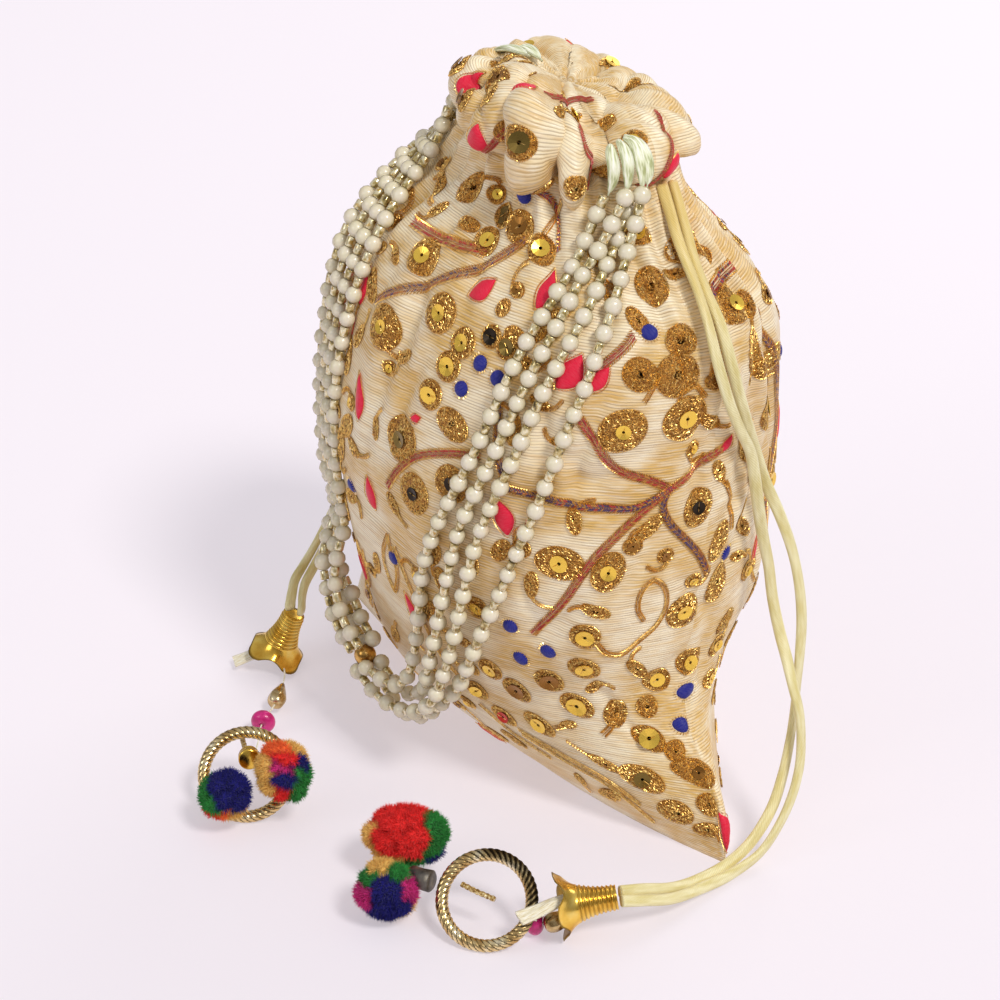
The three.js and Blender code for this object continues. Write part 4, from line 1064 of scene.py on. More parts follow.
STRANDS_LEFT = (
    (
        (-17, -54.6, 33.8), (-23.1, -54.8, 37.7), (-28, -54.2, 43.1), (-30.4, -53.4, 49.9),
        (-31.5, -51.3, 56.8), (-32.5, -48.7, 63.5), (-33, -49.3, 70.8), (-33.1, -50.3, 78),
        (-33.1, -50.7, 85.2), (-33.1, -50.9, 92.5), (-33.1, -51, 99.8), (-32.9, -50.6, 107.1),
        (-32.5, -49.9, 114.3), (-31.8, -49, 121.5), (-30.7, -48, 128.6), (-29.6, -46.5, 135.7),
        (-28.8, -44.3, 142.6), (-28.4, -41.3, 149.2), (-28.9, -37.2, 155.2), (-30, -32.1, 160.3),
        (-31, -26.7, 165.1), (-31.5, -21.3, 170), (-32.1, -16.9, 175.6), (-32, -14.6, 181.4),
    ),
    (
        (-17, -49.4, 33.8), (-23.1, -49.3, 37.5), (-28.3, -48.8, 42.4), (-32.7, -49.4, 47.9),
        (-36, -49.9, 54.2), (-37.4, -47.6, 60.8), (-38, -47, 67.9), (-38.3, -48.7, 74.8),
        (-38.3, -49.2, 81.9), (-38.3, -49.5, 89), (-38.3, -49.7, 96.2), (-38.3, -49.5, 103.3),
        (-38, -49.1, 110.4), (-37.5, -48.5, 117.5), (-36.7, -47.7, 124.5), (-35.6, -46.7, 131.5),
        (-34.6, -45.2, 138.4), (-33.9, -42.8, 145.1), (-33.8, -39.5, 151.4), (-34.3, -34.9, 156.8),
        (-35.2, -29.6, 161.5), (-35.9, -24.1, 165.9), (-36.2, -18.5, 170.4), (-35.9, -13.6, 175.6),
        (-35.2, -10.2, 182.4),
    ),
    (
        (-21.2, -54.6, 30.4), (-27.2, -54.6, 34.2), (-31.9, -54.2, 39.6), (-35.8, -53.4, 45.5),
        (-39.3, -51.8, 51.5), (-41.6, -48.2, 57.2), (-42.5, -44.8, 63.4), (-43.3, -45.8, 70.4),
        (-43.6, -47.3, 77.4), (-43.5, -47.6, 84.5), (-43.5, -47.9, 91.6), (-43.6, -48, 98.7),
        (-43.5, -47.8, 105.9), (-43.1, -47.3, 113), (-42.6, -46.8, 120.1), (-41.6, -46.1, 127.1),
        (-40.6, -45.2, 134.1), (-39.6, -43.5, 140.9), (-39.1, -40.9, 147.5), (-39, -37, 153.5),
        (-39.6, -32, 158.6), (-40.3, -26.4, 162.8), (-40.6, -20.5, 166.9), (-40.4, -14.6, 171),
        (-39.2, -9.4, 175.6), (-37, -6.2, 181.2), (-37.4, -4.6, 187),
    ),
    (
        (-21.2, -49.4, 30.4), (-27.7, -49.3, 33.7), (-33.1, -48.5, 38.6), (-37.8, -48, 44.2),
        (-42.2, -47.9, 50.1), (-45.5, -45.9, 56.2), (-47.2, -42.7, 62.5), (-48.4, -43.3, 69.7),
        (-48.7, -45.1, 76.7), (-48.7, -45.5, 84.1), (-48.7, -45.9, 91.4), (-48.8, -46, 98.7),
        (-48.7, -45.7, 106), (-48.3, -45.4, 113.3), (-47.7, -44.9, 120.5), (-46.9, -44.4, 127.8),
        (-45.8, -43.6, 135), (-44.9, -41.9, 142), (-44.4, -39.1, 148.8), (-44.3, -34.8, 154.7),
        (-44.7, -29.3, 159.5), (-45, -23.2, 163.6), (-45, -17, 167.4), (-44.1, -10.7, 171),
        (-42.3, -4.9, 175), (-39.8, -1.5, 181.3), (-39, 1, 188.6),
    ),
)


def run_of(route, step):
    """Places a step apart on the smooth curve that a cord takes through its route."""
    points = np.array(route, float)
    padded = np.vstack([2 * points[0] - points[1], points, 2 * points[-1] - points[-2]])
    fine = []
    for a, b, c, d in zip(padded, padded[1:], padded[2:], padded[3:]):
        ab, bc, cd = (math.sqrt(np.linalg.norm(q - p)) for p, q in ((a, b), (b, c), (c, d)))
        start = ((b - a) / ab - (c - a) / (ab + bc) + (c - b) / bc) * bc
        end = ((c - b) / bc - (d - b) / (bc + cd) + (d - c) / cd) * bc
        t = np.linspace(0, 1, 17)[:-1, None]
        fine.append((2 * t**3 - 3 * t**2 + 1) * b + (3 * t**2 - 2 * t**3) * c
                    + (t**3 - 2 * t**2 + t) * start + (t**3 - t**2) * end)
    fine = np.vstack([*fine, points[-1:]])
    knots = np.concatenate([[0], np.cumsum(np.linalg.norm(np.diff(fine, axis=0), axis=1))])
    at = np.linspace(0, knots[-1], max(4, round(knots[-1] / step) + 1))
    return np.column_stack([np.interp(at, knots, fine[:, k]) for k in range(3)])


def length_of(run):
    return float(np.linalg.norm(np.diff(run, axis=0), axis=1).sum())


def frames_of(run):
    """Tangents and two cross directions along a run that turn no more than they must."""
    tangents = np.gradient(run, axis=0)
    tangents /= np.linalg.norm(tangents, axis=1, keepdims=True)
    side = np.cross(tangents[0], [0, 0, 1] if abs(tangents[0][2]) < 0.9 else [1, 0, 0])
    sides = []
    for tangent in tangents:
        side = side - tangent * (side @ tangent)
        side /= np.linalg.norm(side)
        sides.append(side)
    sides = np.array(sides)
    return tangents, sides, np.cross(tangents, sides)


def swept(run, section, hint=None):
    """Points and faces of a closed tube. The section gives its offsets at each ring, in millimetres."""
    tangents, sides, others = frames_of(run)
    if hint is not None:
        sides = hint - tangents * (tangents @ hint)[:, None]
        sides /= np.linalg.norm(sides, axis=1, keepdims=True)
        others = np.cross(tangents, sides)
    rings = [section(i, length) for i, length in enumerate(np.linspace(0, length_of(run), len(run)))]
    count = len(rings[0])
    points = np.concatenate([
        centre + ring[:, :1] * side + ring[:, 1:] * other
        for centre, ring, side, other in zip(run, rings, sides, others)
    ])
    faces = strip_faces(len(run), count)
    ends = len(points)
    points = np.vstack([points, run[0], run[-1]])
    last = (len(run) - 1) * count
    for i in range(count):
        faces.append(((i + 1) % count, i, ends))
        faces.append((last + i, last + (i + 1) % count, ends + 1))
    return points, faces


def lathe(profile, sides, origin, axis, spin=0.0):
    """Points and faces of a profile of (radius, along) turned about an axis; it starts and ends on it."""
    axis = np.array(axis, float) / np.linalg.norm(axis)
    side = np.cross(axis, [0, 0, 1] if abs(axis[2]) < 0.9 else [1, 0, 0])
    side /= np.linalg.norm(side)
    other = np.cross(axis, side)
    turns = turns_of(sides) + spin
    ring = np.cos(turns)[:, None] * side + np.sin(turns)[:, None] * other
    inner = profile[1:-1]
    points = np.concatenate([np.array(origin) + radius * ring + along * axis for radius, along in inner])
    poles = [np.array(origin) + along * axis for _, along in (profile[0], profile[-1])]
    faces = strip_faces(len(inner), sides)
    start, last = len(points), (len(inner) - 1) * sides
    for i in range(sides):
        after = (i + 1) % sides
        faces.append((after, i, start))
        faces.append((last + i, last + after, start + 1))
    return np.vstack([points, poles]), faces


def thread_curve(name, run, diameter, material):
    """A cord as a curve of one open spline, round in section."""
    curve = bpy.data.curves.new(name, "CURVE")
    curve.dimensions = "3D"
    curve.bevel_depth, curve.bevel_resolution, curve.use_fill_caps = diameter / 2 * MM, 2, True
    spline = curve.splines.new("POLY")
    spline.points.add(len(run) - 1)
    spline.points.foreach_set("co", np.column_stack([run * MM, np.ones(len(run))]).ravel())
    curve.materials.append(material)
    return shown(bpy.data.objects.new(name, curve))


def threaded_tree():
    """Threads one kind of bead on a curve: every other place along it, from the first or the second."""
    nodes, string, part, finish, pitch, first = begun_tree("threaded", Pitch="Float", First="Int")
    places = nodes.node("GeometryNodeResampleCurve", {"mode": "LENGTH"}, {"Curve": string, "Length": pitch})
    index = nodes.node("GeometryNodeInputIndex")
    turn = (index + first).worked("MODULO", index + first, 2)
    tangent = nodes.node("GeometryNodeInputTangent")
    facing = nodes.node("FunctionNodeAlignRotationToVector", {"axis": "Z"}, {"Vector": tangent})
    size = nodes.node("FunctionNodeRandomValue", {"data_type": "FLOAT"}, {2: 0.95, 3: 1.04, "Seed": 3}, 1)
    placed = nodes.node("GeometryNodeInstanceOnPoints", {}, {
        "Points": places, "Selection": turn, "Instance": part, "Rotation": facing, "Scale": size})
    return ended_tree(nodes, placed, finish)


def bead_object(name, profile, sides):
    return piece(name, *lathe(profile, sides, (0, 0, 0), (0, 0, 1)))


def holed(outside, half, hole, depths):
    """The profile of a bead with a blind hole at each end, given three depths inside its half length."""
    end = [(0, depths[0] - half), (hole, depths[1] - half), (hole, depths[2] - half)]
    return end + outside + [(radius, -along) for radius, along in reversed(end)]


pearl_rows = 6
pearl_turns = [math.pi * i / pearl_rows for i in range(pearl_rows + 1)]
pearl_profile = [(PEARL_RADIUS * math.sin(turn), -PEARL_RADIUS * math.cos(turn)) for turn in pearl_turns]
pearl_bead = bead_object("pearl_bead", pearl_profile, 12)
half, rim = TUBE_BEAD_LENGTH / 2, TUBE_BEAD_RADIUS
outside = [(rim - 0.12, -half), (rim, -half + 0.25), (rim, half - 0.25), (rim - 0.12, half)]
tube_bead = bead_object("tube_bead", holed(outside, half, TUBE_BEAD_HOLE, (0.9, 0.8, 0)), 10)

pearl = Finish("pearl_lacquer", Roughness=0.3, Coat_Weight=0.6, Coat_Roughness=0.12)
pearl.shader.inputs["Subsurface Weight"].default_value = 0.15
pearl.shader.inputs["Subsurface Scale"].default_value = 0.002
pearl.shader.inputs["Subsurface Radius"].default_value = (1.0, 0.9, 0.7)
# painted shade: the pearl's colour darkens to olive grey towards its rim, by the angle it is seen at
facing = pearl.node("ShaderNodeLayerWeight", sockets={"Blend": 0.35}, output="Facing")
cloud = pearl.noise(pearl.place(), 260, 2)
nacre_with_painted_rim_shade = pearl.ramp(facing, (0.0, dye(232, 224, 196)), (0.45, dye(212, 200, 162)), (0.85, dye(152, 140, 98)))
pearl.feed("Base Color", pearl.blend(pearl.clamped(cloud, 0.4, 0.62) * 0.4, nacre_with_painted_rim_shade, dye(232, 222, 210)))
pearl.relief(pearl.noise(pearl.place(), 900, 2), 0.05, 0.4)
lining = Finish("silver_lined_glass", Metallic=0.55, Coat_Weight=1.0, Coat_Roughness=0.04)
glint = lining.noise(lining.place(), 520, 3)
lining.feed("Base Color", lining.ramp(
    glint, (0.3, dye(98, 80, 36)), (0.44, dye(198, 174, 104)), (0.55, dye(246, 238, 202)),
    (0.7, dye(200, 160, 74))))
lining.feed("Roughness", lining.clamped(glint, 0.3, 0.8) * 0.3 + 0.1)
lining.relief(glint, 0.3, 0.5)
thread_white = Finish("white_thread", Roughness=0.6)
thread_white.feed("Base Color", thread_white.ramp(
    thread_white.noise(thread_white.place(), 1400), (0.3, dye(206, 200, 172)), (0.7, dye(250, 247, 232))))

threaded = threaded_tree()
for side, routes in (("right", STRANDS_RIGHT), ("left", STRANDS_LEFT)):
    for number, route in enumerate(routes, 1):
        run = run_of(route, 1.2)
        thread = thread_curve(f"thread_{side}_{number}", run, THREAD_DIAMETER, thread_white.material)
        for kind, bead, first, finish in (
            ("pearls", pearl_bead, 1, pearl), ("tube_beads", tube_bead, 0, lining),
        ):
            string = thread_curve(f"{kind}_{side}_{number}", run, 0, finish.material)
            strung = settled(string, threaded, Piece=bead, Pitch=BEAD_PITCH * MM,
                             First=(first + number) % 2, Finish=finish.material)
            strung.data.polygons.foreach_set("use_smooth", [True] * len(strung.data.polygons))
            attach(strung, "root")
        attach(thread, "root")
        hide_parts(f"strand_{side}_{number}")
bpy.data.objects.remove(pearl_bead)
bpy.data.objects.remove(tube_bead)

gilt = Finish("gilt_bead_brass", Metallic=1.0)
tarnish = gilt.noise(gilt.place(), 420, 3)
gilt.feed("Base Color", gilt.ramp(tarnish, (0.35, dye(150, 104, 48)), (0.6, dye(226, 182, 104))))
gilt.feed("Roughness", gilt.clamped(tarnish, 0.3, 0.7) * 0.2 + 0.18)
half, rows = HANDLE_BEAD_LENGTH / 2, 14
turns = [math.radians(24 + 132 * i / rows) for i in range(rows + 1)]
outside = [(HANDLE_BEAD_RADIUS * math.sin(turn), -half * math.cos(turn) * 1.07) for turn in turns]
profile = holed(outside, half, HANDLE_BEAD_HOLE, (1.2, 0.9, 0.2))
shape = lathe(profile, 28, HANDLE_BEAD_CENTRE, HANDLE_BEAD_AXIS)
handle_bead = piece("handle_bead_gilt", *shape, gilt.material)
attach(handle_bead, "root")
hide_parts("handle_bead")

# --- The handle's satin loops ---------------------------------------------------------------------
# On the near side the strings end in soft loops of white floss that spread over a fold of the frill;
# on the far side a folded scrap of cream satin covers their knots.
floss_white = Finish("floss", Roughness=0.45, Sheen_Weight=0.3)
fibres = floss_white.fibres(floss_white.mapped(), 2.6, 0.22)
floss_white.feed("Base Color", floss_white.ramp(
    fibres, (0.36, dye(172, 178, 120)), (0.5, dye(226, 230, 190)), (0.64, dye(252, 252, 236))))
floss_white.relief(fibres, 0.2, 0.9)


def sweep_map(item, run, count, girth):
    """The map of a tube that is swept along a run."""
    weave_map(item, len(run), count, girth, np.arange(len(run)) / (len(run) - 1) * length_of(run))


def petal_loop(name, route, width, thickness, hint, taper):
    """A soft flattened loop of floss or satin that narrows to its ends."""
    run = run_of(route, 0.5)
    count = 20
    turns = turns_of(count)

    def section(i, _):
        share = i / (len(run) - 1)
        swell = max(0.12, math.sin(math.pi * min(1, share + 0.06)) ** taper)
        ridges = 1 + 0.12 * np.cos(7 * turns + 3 * share)
        wide = np.cos(turns) * width / 2 * swell * ridges
        return np.stack([wide, np.sin(turns) * thickness / 2 * (0.4 + 0.6 * swell)], -1)

    item = piece(name, *swept(run, section, np.array(hint)), floss_white.material)
    sweep_map(item, run, count, width * 2)
    return item


# side, width, thickness, direction of the flat, taper, routes
FLOSS_LOOPS = (
    ("right", 3.2, 1.7, (-0.4, -0.9, 0.1), 0.45, (
        ((33.6, -8.8, 192.8), (36.4, -10.6, 192.0), (38.6, -11.4, 189.2), (38.8, -11.6, 185.6),
         (38.2, -12.6, 181.6)),
        ((33.8, -6.4, 193.6), (37.2, -7.4, 193.0), (40.2, -8.2, 190.2), (41.4, -8.8, 186.6),
         (42.2, -9.8, 183.0)),
        ((33.6, -4.4, 193.8), (37.6, -4.2, 193.2), (41.0, -5.0, 190.6), (43.0, -5.6, 187.0),
         (44.0, -6.2, 183.4)),
        ((32.6, -3.6, 193.8), (36.0, -2.6, 193.6), (40.4, -2.8, 191.4), (43.2, -3.6, 188.0),
         (44.6, -5.2, 184.2)),
    )),
    ("left", 5.0, 1.8, (0, 1, 0), 0.5, (
        ((-36.6, 2.6, 190.8), (-31.6, 2.0, 195.6), (-25.5, 1.6, 198.2), (-17, 1.7, 198.6)),
        ((-35.0, 4.6, 192.0), (-30, 5.0, 196.4), (-23, 5.4, 198.0), (-15, 4.4, 197.4)),
    )),
)
for side, width, thickness, hint, taper, routes in FLOSS_LOOPS:
    for number, route in enumerate(routes, 1):
        loop = petal_loop(f"handle_floss_{side}_{number}", route, width, thickness, hint, taper)
        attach(loop, "root")
        if number == 1:
            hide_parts(f"handle_loop_{side}")

# --- The drawstrings ------------------------------------------------------------------------------
# Two pairs of cream satin cords. Each pair leaves the channel on its own side, runs down the bag, and
# is held in the narrow end of a brass bell. The cord is a soft satin tube, pressed a little flat.
CORD_DIAMETER, TWILL_PITCH = 2.8, 0.62
DRAWSTRINGS_RIGHT = (
    (
        (37.6, 5.2, 180), (40.6, 4.4, 177.4), (43.6, 3.5, 175), (48.5, 1.8, 171.4), (54.5, 0.2, 167.2),
        (61.5, -1.2, 162), (68.3, -2.6, 155.6), (73, -3, 147.5), (75.2, -0.2, 136), (74.6, 4.6, 126),
        (72.8, 10.3, 116.5), (71.9, 13, 108), (71.4, 15, 100), (70.6, 18, 89), (70.6, 21, 78), (72, 22, 68),
        (75.2, 22.3, 59.5), (79.8, 21.8, 52.5), (84, 20.9, 46.6), (86.8, 21.3, 39.5), (88.6, 21, 32),
        (90.5, 19.4, 25), (92.3, 16, 18), (93.4, 11.2, 11), (94, 4.6, 4.6), (94.9, -5.6, 2.3),
        (96.9, -19.1, 3.6), (99.3, -30.7, 6.7), (99.5, -39.8, 10.1), (98.5, -46.4, 12),
    ),
    (
        (36.6, 9.4, 179.8), (39.4, 8.7, 177.2), (42.5, 7.7, 174.6), (47.7, 5.8, 170.9), (54, 3.6, 166),
        (61, 2.2, 160.5), (68.2, 1.4, 154.4), (73, 2, 144.5), (74, 4.9, 134), (72.4, 9.2, 124.5),
        (69.9, 14.5, 114), (69.8, 18.6, 104), (72.4, 22.2, 94), (75.2, 24.8, 84), (77.4, 26.2, 74),
        (79, 26.6, 64), (80, 26, 54), (80.8, 25, 44), (82.4, 23.2, 36), (84.2, 20.8, 28.5),
        (86.2, 17.4, 20.5), (88.4, 12.2, 12.5), (90.1, 4, 5.6), (91.5, -5.4, 2.8), (93.4, -17.6, 3.7),
        (95.6, -27.9, 6.9), (96, -37.2, 10.5), (95.5, -44.7, 12.5),
    ),
)
DRAWSTRINGS_LEFT = (
    (
        (-38.1, 3.3, 180.6), (-41.9, 2.7, 175.9), (-47.7, 1.6, 170.5), (-58.1, -0.1, 162.6),
        (-70.4, -2.4, 151), (-74.6, -4.6, 138), (-73.4, -6.7, 124.7), (-72.2, -8.8, 112),
        (-71.4, -10.8, 99), (-70.4, -13, 87), (-69.4, -15.9, 76), (-69, -19, 66), (-70, -22.3, 56.9),
        (-71.9, -26.2, 47.5), (-72.4, -30.5, 39.5), (-71.7, -35.1, 33.4), (-71.5, -39.7, 27.6),
        (-69.1, -43.8, 25.6), (-65, -47.3, 24.3), (-62.4, -49.5, 22.9), (-63.2, -49.2, 20.7),
    ),
    (
        (-37.6, 7.3, 180.5), (-41.4, 6.7, 175.8), (-47.4, 5.4, 170.5), (-58.1, 3.7, 162.6),
        (-70.6, 1.2, 151), (-74.8, -1.1, 138), (-74, -3.3, 124.7), (-72.9, -5.4, 112), (-72, -7.4, 99),
        (-71.2, -9.6, 87), (-70.5, -12.5, 76), (-70, -15.8, 66), (-70.3, -19.1, 56.9), (-71.4, -23, 47.4),
        (-71.4, -27.5, 39.2), (-70.4, -32.4, 32.9), (-69.8, -37.1, 26.9), (-67, -41.5, 24.7),
        (-62.9, -45.1, 23.2), (-60.1, -47, 21.6), (-60.9, -46.9, 19.3),
    ),
)

cord_satin = Finish("cord_satin", Roughness=0.36, Sheen_Weight=0.2)
lie = cord_satin.mapped()
around, along = cord_satin.axis(lie, "X"), cord_satin.axis(lie, "Y")
soft = cord_satin.fibres(lie, 0.7, 0.12)
twill = ((around * 1.1 + along * 0.55) * (2 * math.pi / TWILL_PITCH) + soft * 4).sine() * 0.5 + 0.5
height = cord_satin.axis(cord_satin.place(), "Z")
body_dye = cord_satin.blend(cord_satin.clamped(soft, 0.35, 0.65), dye(222, 208, 140), dye(244, 236, 188))
deep = cord_satin.blend(cord_satin.clamped(height, 0.145, 0.176) * 0.75, body_dye, dye(226, 190, 96))
# painted shade: the cord is painted darker in the valleys of its twill
between = cord_satin.clamped(twill, 0.0, 0.5) * -0.3 + 0.3
cord_satin.feed("Base Color", cord_satin.blend(between, deep, dye(186, 166, 92)))
cord_satin.relief(twill * 0.6 + soft * 0.4, 0.12, 0.7)

cords = {}
for side, routes in (("right", DRAWSTRINGS_RIGHT), ("left", DRAWSTRINGS_LEFT)):
    for number, route in enumerate(routes, 1):
        run = run_of(route, 0.9)
        count = 18
        turns = turns_of(count)
        phase = rng.uniform(0, 6)

        def section(i, length):
            turn = 0.5 * math.sin(length / 23 + phase) + 0.2 * math.sin(length / 7)
            wide = CORD_DIAMETER / 2 * (1.14 + 0.05 * math.sin(length / 9 + phase))
            flat = CORD_DIAMETER / 2 * 0.8
            dip = 1 - 0.2 * np.exp(-((np.cos(turns) / 0.3) ** 2))
            x, y = wide * np.cos(turns), flat * np.sin(turns) * dip
            cosine, sine = math.cos(turn), math.sin(turn)
            return np.stack([x * cosine - y * sine, x * sine + y * cosine], -1)

        cord = piece(f"satin_cord_{side}_{number}", *swept(run, section), cord_satin.material)
        sweep_map(cord, run, count, math.pi * CORD_DIAMETER)
        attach(cord, "root")
        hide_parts(f"drawstring_{side}_{number}")
        cords[side, number] = (cord, run)

# --- The bells and their ribbons ------------------------------------------------------------------
# A bell pressed from thin brass holds the ends of each pair of cords: ribbed over its narrow part and
# drawn out into four petals at the mouth. A cut end of cream ribbon sticks out of it.
BELLS = {
    "right": ((96.5, -46.4, 12.1), (89.1, -58.4, 9.6), 0.3),
    "left": ((-62.4, -48.4, 18.6), (-66.4, -52.2, 5.2), 0.75),
}
BELL_WIDTHS = np.array([[0, 3.3], [4, 3.5], [8, 4.3], [11.6, 5.7], [15, 8.5]])
BELL_LENGTH, BELL_WALL = 15, 0.6
BELL_RIBS, RIB_END = 9, 10.4
PETAL_START, PETAL_REACH, PETAL_DROP, PETAL_SPREAD = 9, 6, 1.6, 0.07
RIBBONS = {
    "right": (
        ((90.3, -56.7, 12.2), (89.6, -61.1, 12), (89.2, -66.5, 11.4), (88.3, -71.9, 10.6)), (0.8, 0.6, 0)),
    "left": (
        ((-66.3, -53.3, 7), (-68.6, -56.1, 5.2), (-70.2, -60.1, 3.6), (-71.8, -64.1, 2.2)), (1, 0, 0)),
}
RIBBON_WIDTH, RIBBON_THICKNESS = 4.4, 0.7

brass = Finish("pressed_brass", Metallic=1.0)
spots = brass.noise(brass.place(), 160, 3)
# painted shade: the groove attribute blends the brass towards near black inside the bells, in their rib
# valleys, at their lips and in the cap's collar groove
depth = brass.painted_shade()
polish = brass.ramp(spots, (0.34, dye(214, 160, 54)), (0.56, dye(250, 208, 96)), (0.72, dye(255, 230, 140)))
brass.feed("Base Color", brass.blend(depth, polish, dye(66, 44, 18)))
brass.feed("Roughness", 0.17 + brass.clamped(spots, 0.3, 0.8) * 0.12 + depth * 0.3)
ribbon_satin = Finish("ribbon_satin", Roughness=0.5, Sheen_Weight=0.3)
fray = ribbon_satin.fibres(ribbon_satin.mapped(), 3.2, 0.4)
ribbon_satin.feed("Base Color", ribbon_satin.ramp(
    fray, (0.32, dye(220, 204, 158)), (0.52, dye(244, 236, 208)), (0.7, dye(254, 250, 236))))
ribbon_satin.relief(fray, 0.16, 0.8)
tassels, tassel_threads = {"right": [], "left": []}, {}


# stores painted shade as the groove attribute: how far each point of a metal piece is painted near black
def marked(item, grooves):
    store = item.data.attributes.new("groove", "FLOAT", "POINT")
    store.data.foreach_set("value", np.asarray(grooves, np.float32))


def stood(points, foot, axis):
    """Points made about an upright axis, moved to a foot and turned to lie along another axis."""
    return points @ np.array(Vector(axis).to_track_quat("Z", "Y").to_matrix()).T + np.array(foot)


def fixed(item, side, node):
    """A tassel piece in its place: it rides with the bag and stands for its node."""
    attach(item, "root")
    if node:
        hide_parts(node)
    tassels[side].append(item)
    return item


def bell(side, narrow, mouth, spin):
    axis = np.array(mouth) - np.array(narrow)
    along = np.concatenate([np.linspace(0, RIB_END, 64), np.linspace(RIB_END, BELL_LENGTH, 16)[1:]])
    width = smooth_rows(BELL_WIDTHS, along)[:, 0]
    wave = np.cos(2 * math.pi * along / RIB_END * BELL_RIBS)
    ribbed = (along < RIB_END) * (along > 0.4)
    outer = list(zip(width + 0.2 * wave * ribbed, along))
    back = along[along > 1.4][::-1][::3]
    inner = list(zip(smooth_rows(BELL_WIDTHS, back)[:, 0] - BELL_WALL, back))
    profile = [(0, 0.1), (2.2, 0)] + outer + inner + [(1.0, 1.5), (0, 1.4)]
    sides = 56
    points, faces = lathe(profile, sides, (0, 0, 0), (0, 0, 1), spin)
    radius, turn = np.hypot(points[:, 0], points[:, 1]), np.arctan2(points[:, 1], points[:, 0])
    reach = np.clip((points[:, 2] - PETAL_START) / PETAL_REACH, 0, 1.1) ** 2
    petal = np.cos(4 * (turn - spin))
    petal = np.sign(petal) * np.abs(petal) ** 0.8 * reach
    curl = np.clip((points[:, 2] - BELL_LENGTH + 2) / 2, 0, 1) ** 2 * np.clip(petal, 0, 1)
    points[:, :2] *= (1 + PETAL_SPREAD * petal + 0.05 * curl)[:, None]
    points[:, 2] += PETAL_DROP * petal - 0.8 * curl
    # painted shade: the inside of the bell, the valleys between its ribs and its lip are painted near black
    # through the groove attribute
    painted_bell_shade = np.zeros(len(points))
    rows = len(profile) - 2
    row = np.minimum(np.arange(len(points)) // sides, rows - 1)
    is_inner = row > len(outer)
    painted_bell_shade[is_inner] = 0.55
    on_rib = ~is_inner & (points[:, 2] < RIB_END)
    painted_bell_shade[on_rib] = np.clip(-np.cos(2 * math.pi * points[on_rib, 2] / RIB_END * BELL_RIBS), 0, 1) * 0.5
    painted_bell_shade[np.abs(row - len(outer)) <= 1] = 0.7
    item = piece(f"bell_{side}", stood(points, narrow, axis), faces, brass.material)
    marked(item, painted_bell_shade)
    return item


for side, (narrow, mouth, spin) in BELLS.items():
    fixed(bell(side, narrow, mouth, spin), side, f"bell_cap_{side}")
    route, across = RIBBONS[side]
    run = run_of(route, 0.4)
    wide = np.linspace(-1, 1, 9)

    def section(i, length):
        curl = 0.5 * math.sin(length / 3.1) + 0.2
        fan = 0.8 + 0.25 * i / len(run)
        height = curl * (1 - wide**2) + RIBBON_THICKNESS / 2 + 0.12 * np.cos(6 * wide)
        top = np.stack([wide * RIBBON_WIDTH / 2 * fan, height], -1)
        return np.vstack([top[::-1], top - [0, RIBBON_THICKNESS]])

    ribbon = piece(f"ribbon_{side}", *swept(run, section, np.array(across, float)), ribbon_satin.material)
    sweep_map(ribbon, run, 18, 2 * RIBBON_WIDTH)
    fixed(ribbon, side, f"ribbon_tail_{side}")

# --- The drop beads, rondelles and rings ----------------------------------------------------------
# On a white thread from each bell hang a fluted metal drop and a magenta bead, then a gilt ring cast
# with a slanting rope twist; its grooves, and the upper right of the right ring, are painted near black
# as shade. The left drop hangs free, the right one is half hidden in the mouth of its bell.
DROPS = {"right": ((91.4, -54.8, 7.4), (88.4, -61.8, 4.9)), "left": ((-49.2, -60.6, 5), (-42.5, -67.4, 4))}
DROP_PROFILE = ((0, 0), (0.7, 0.1), (1.0, 1.0), (1.5, 2.4), (2.0, 3.8), (2.4, 5.2), (2.68, 6.2), (2.75, 7),
                (2.62, 7.9), (2.3, 8.8), (1.7, 9.4), (1.1, 9.7), (0.5, 9.6), (0, 9.4))
RONDELLES = {"right": ((84.6, -64, 4), (-0.7, -0.7, -0.1)), "left": ((-36.2, -75, 4.4), (0.7, -0.7, 0))}
RONDELLE_RADIUS, RONDELLE_HALF, RONDELLE_HOLE = 3.6, 2.2, 0.7
RINGS = {"right": ((76.9, -74.2, 10.5), 45, 47), "left": ((-8.3, -96.8, 10.2), 54.9, 45)}
RING_RADIUS, RING_SECTION = 11.9, 1.72
RING_TWISTS, TWIST_SLANT = 46, 5
TASSEL_THREAD = 0.5
TASSEL_THREADS = {
    "right": (
        (95.4, -48.2, 11.4), (93.6, -51.2, 10), (91.4, -54.8, 7.4), (88.4, -61.8, 4.9), (86.4, -63.1, 4.4),
        (84.6, -64, 4), (84.7, -65.4, 5.2), (85.3, -66.4, 6.6), (88.3, -66.4, 7.8), (87.7, -68.8, 9.6),
        (84.7, -68.8, 8.6), (84.6, -67.0, 6.8),
    ),
    "left": (
        (-64.0, -50.0, 12.4), (-65.2, -51.2, 7.4), (-63.2, -52.6, 3.2), (-57.7, -54.9, 3.4),
        (-49.2, -60.6, 5), (-42.5, -67.4, 4), (-38.4, -72.8, 4.2), (-36.2, -75, 4.4), (-33.2, -77.8, 4.6),
        (-28.2, -81.4, 4.4), (-24.0, -85.2, 3.6),
    ),
}

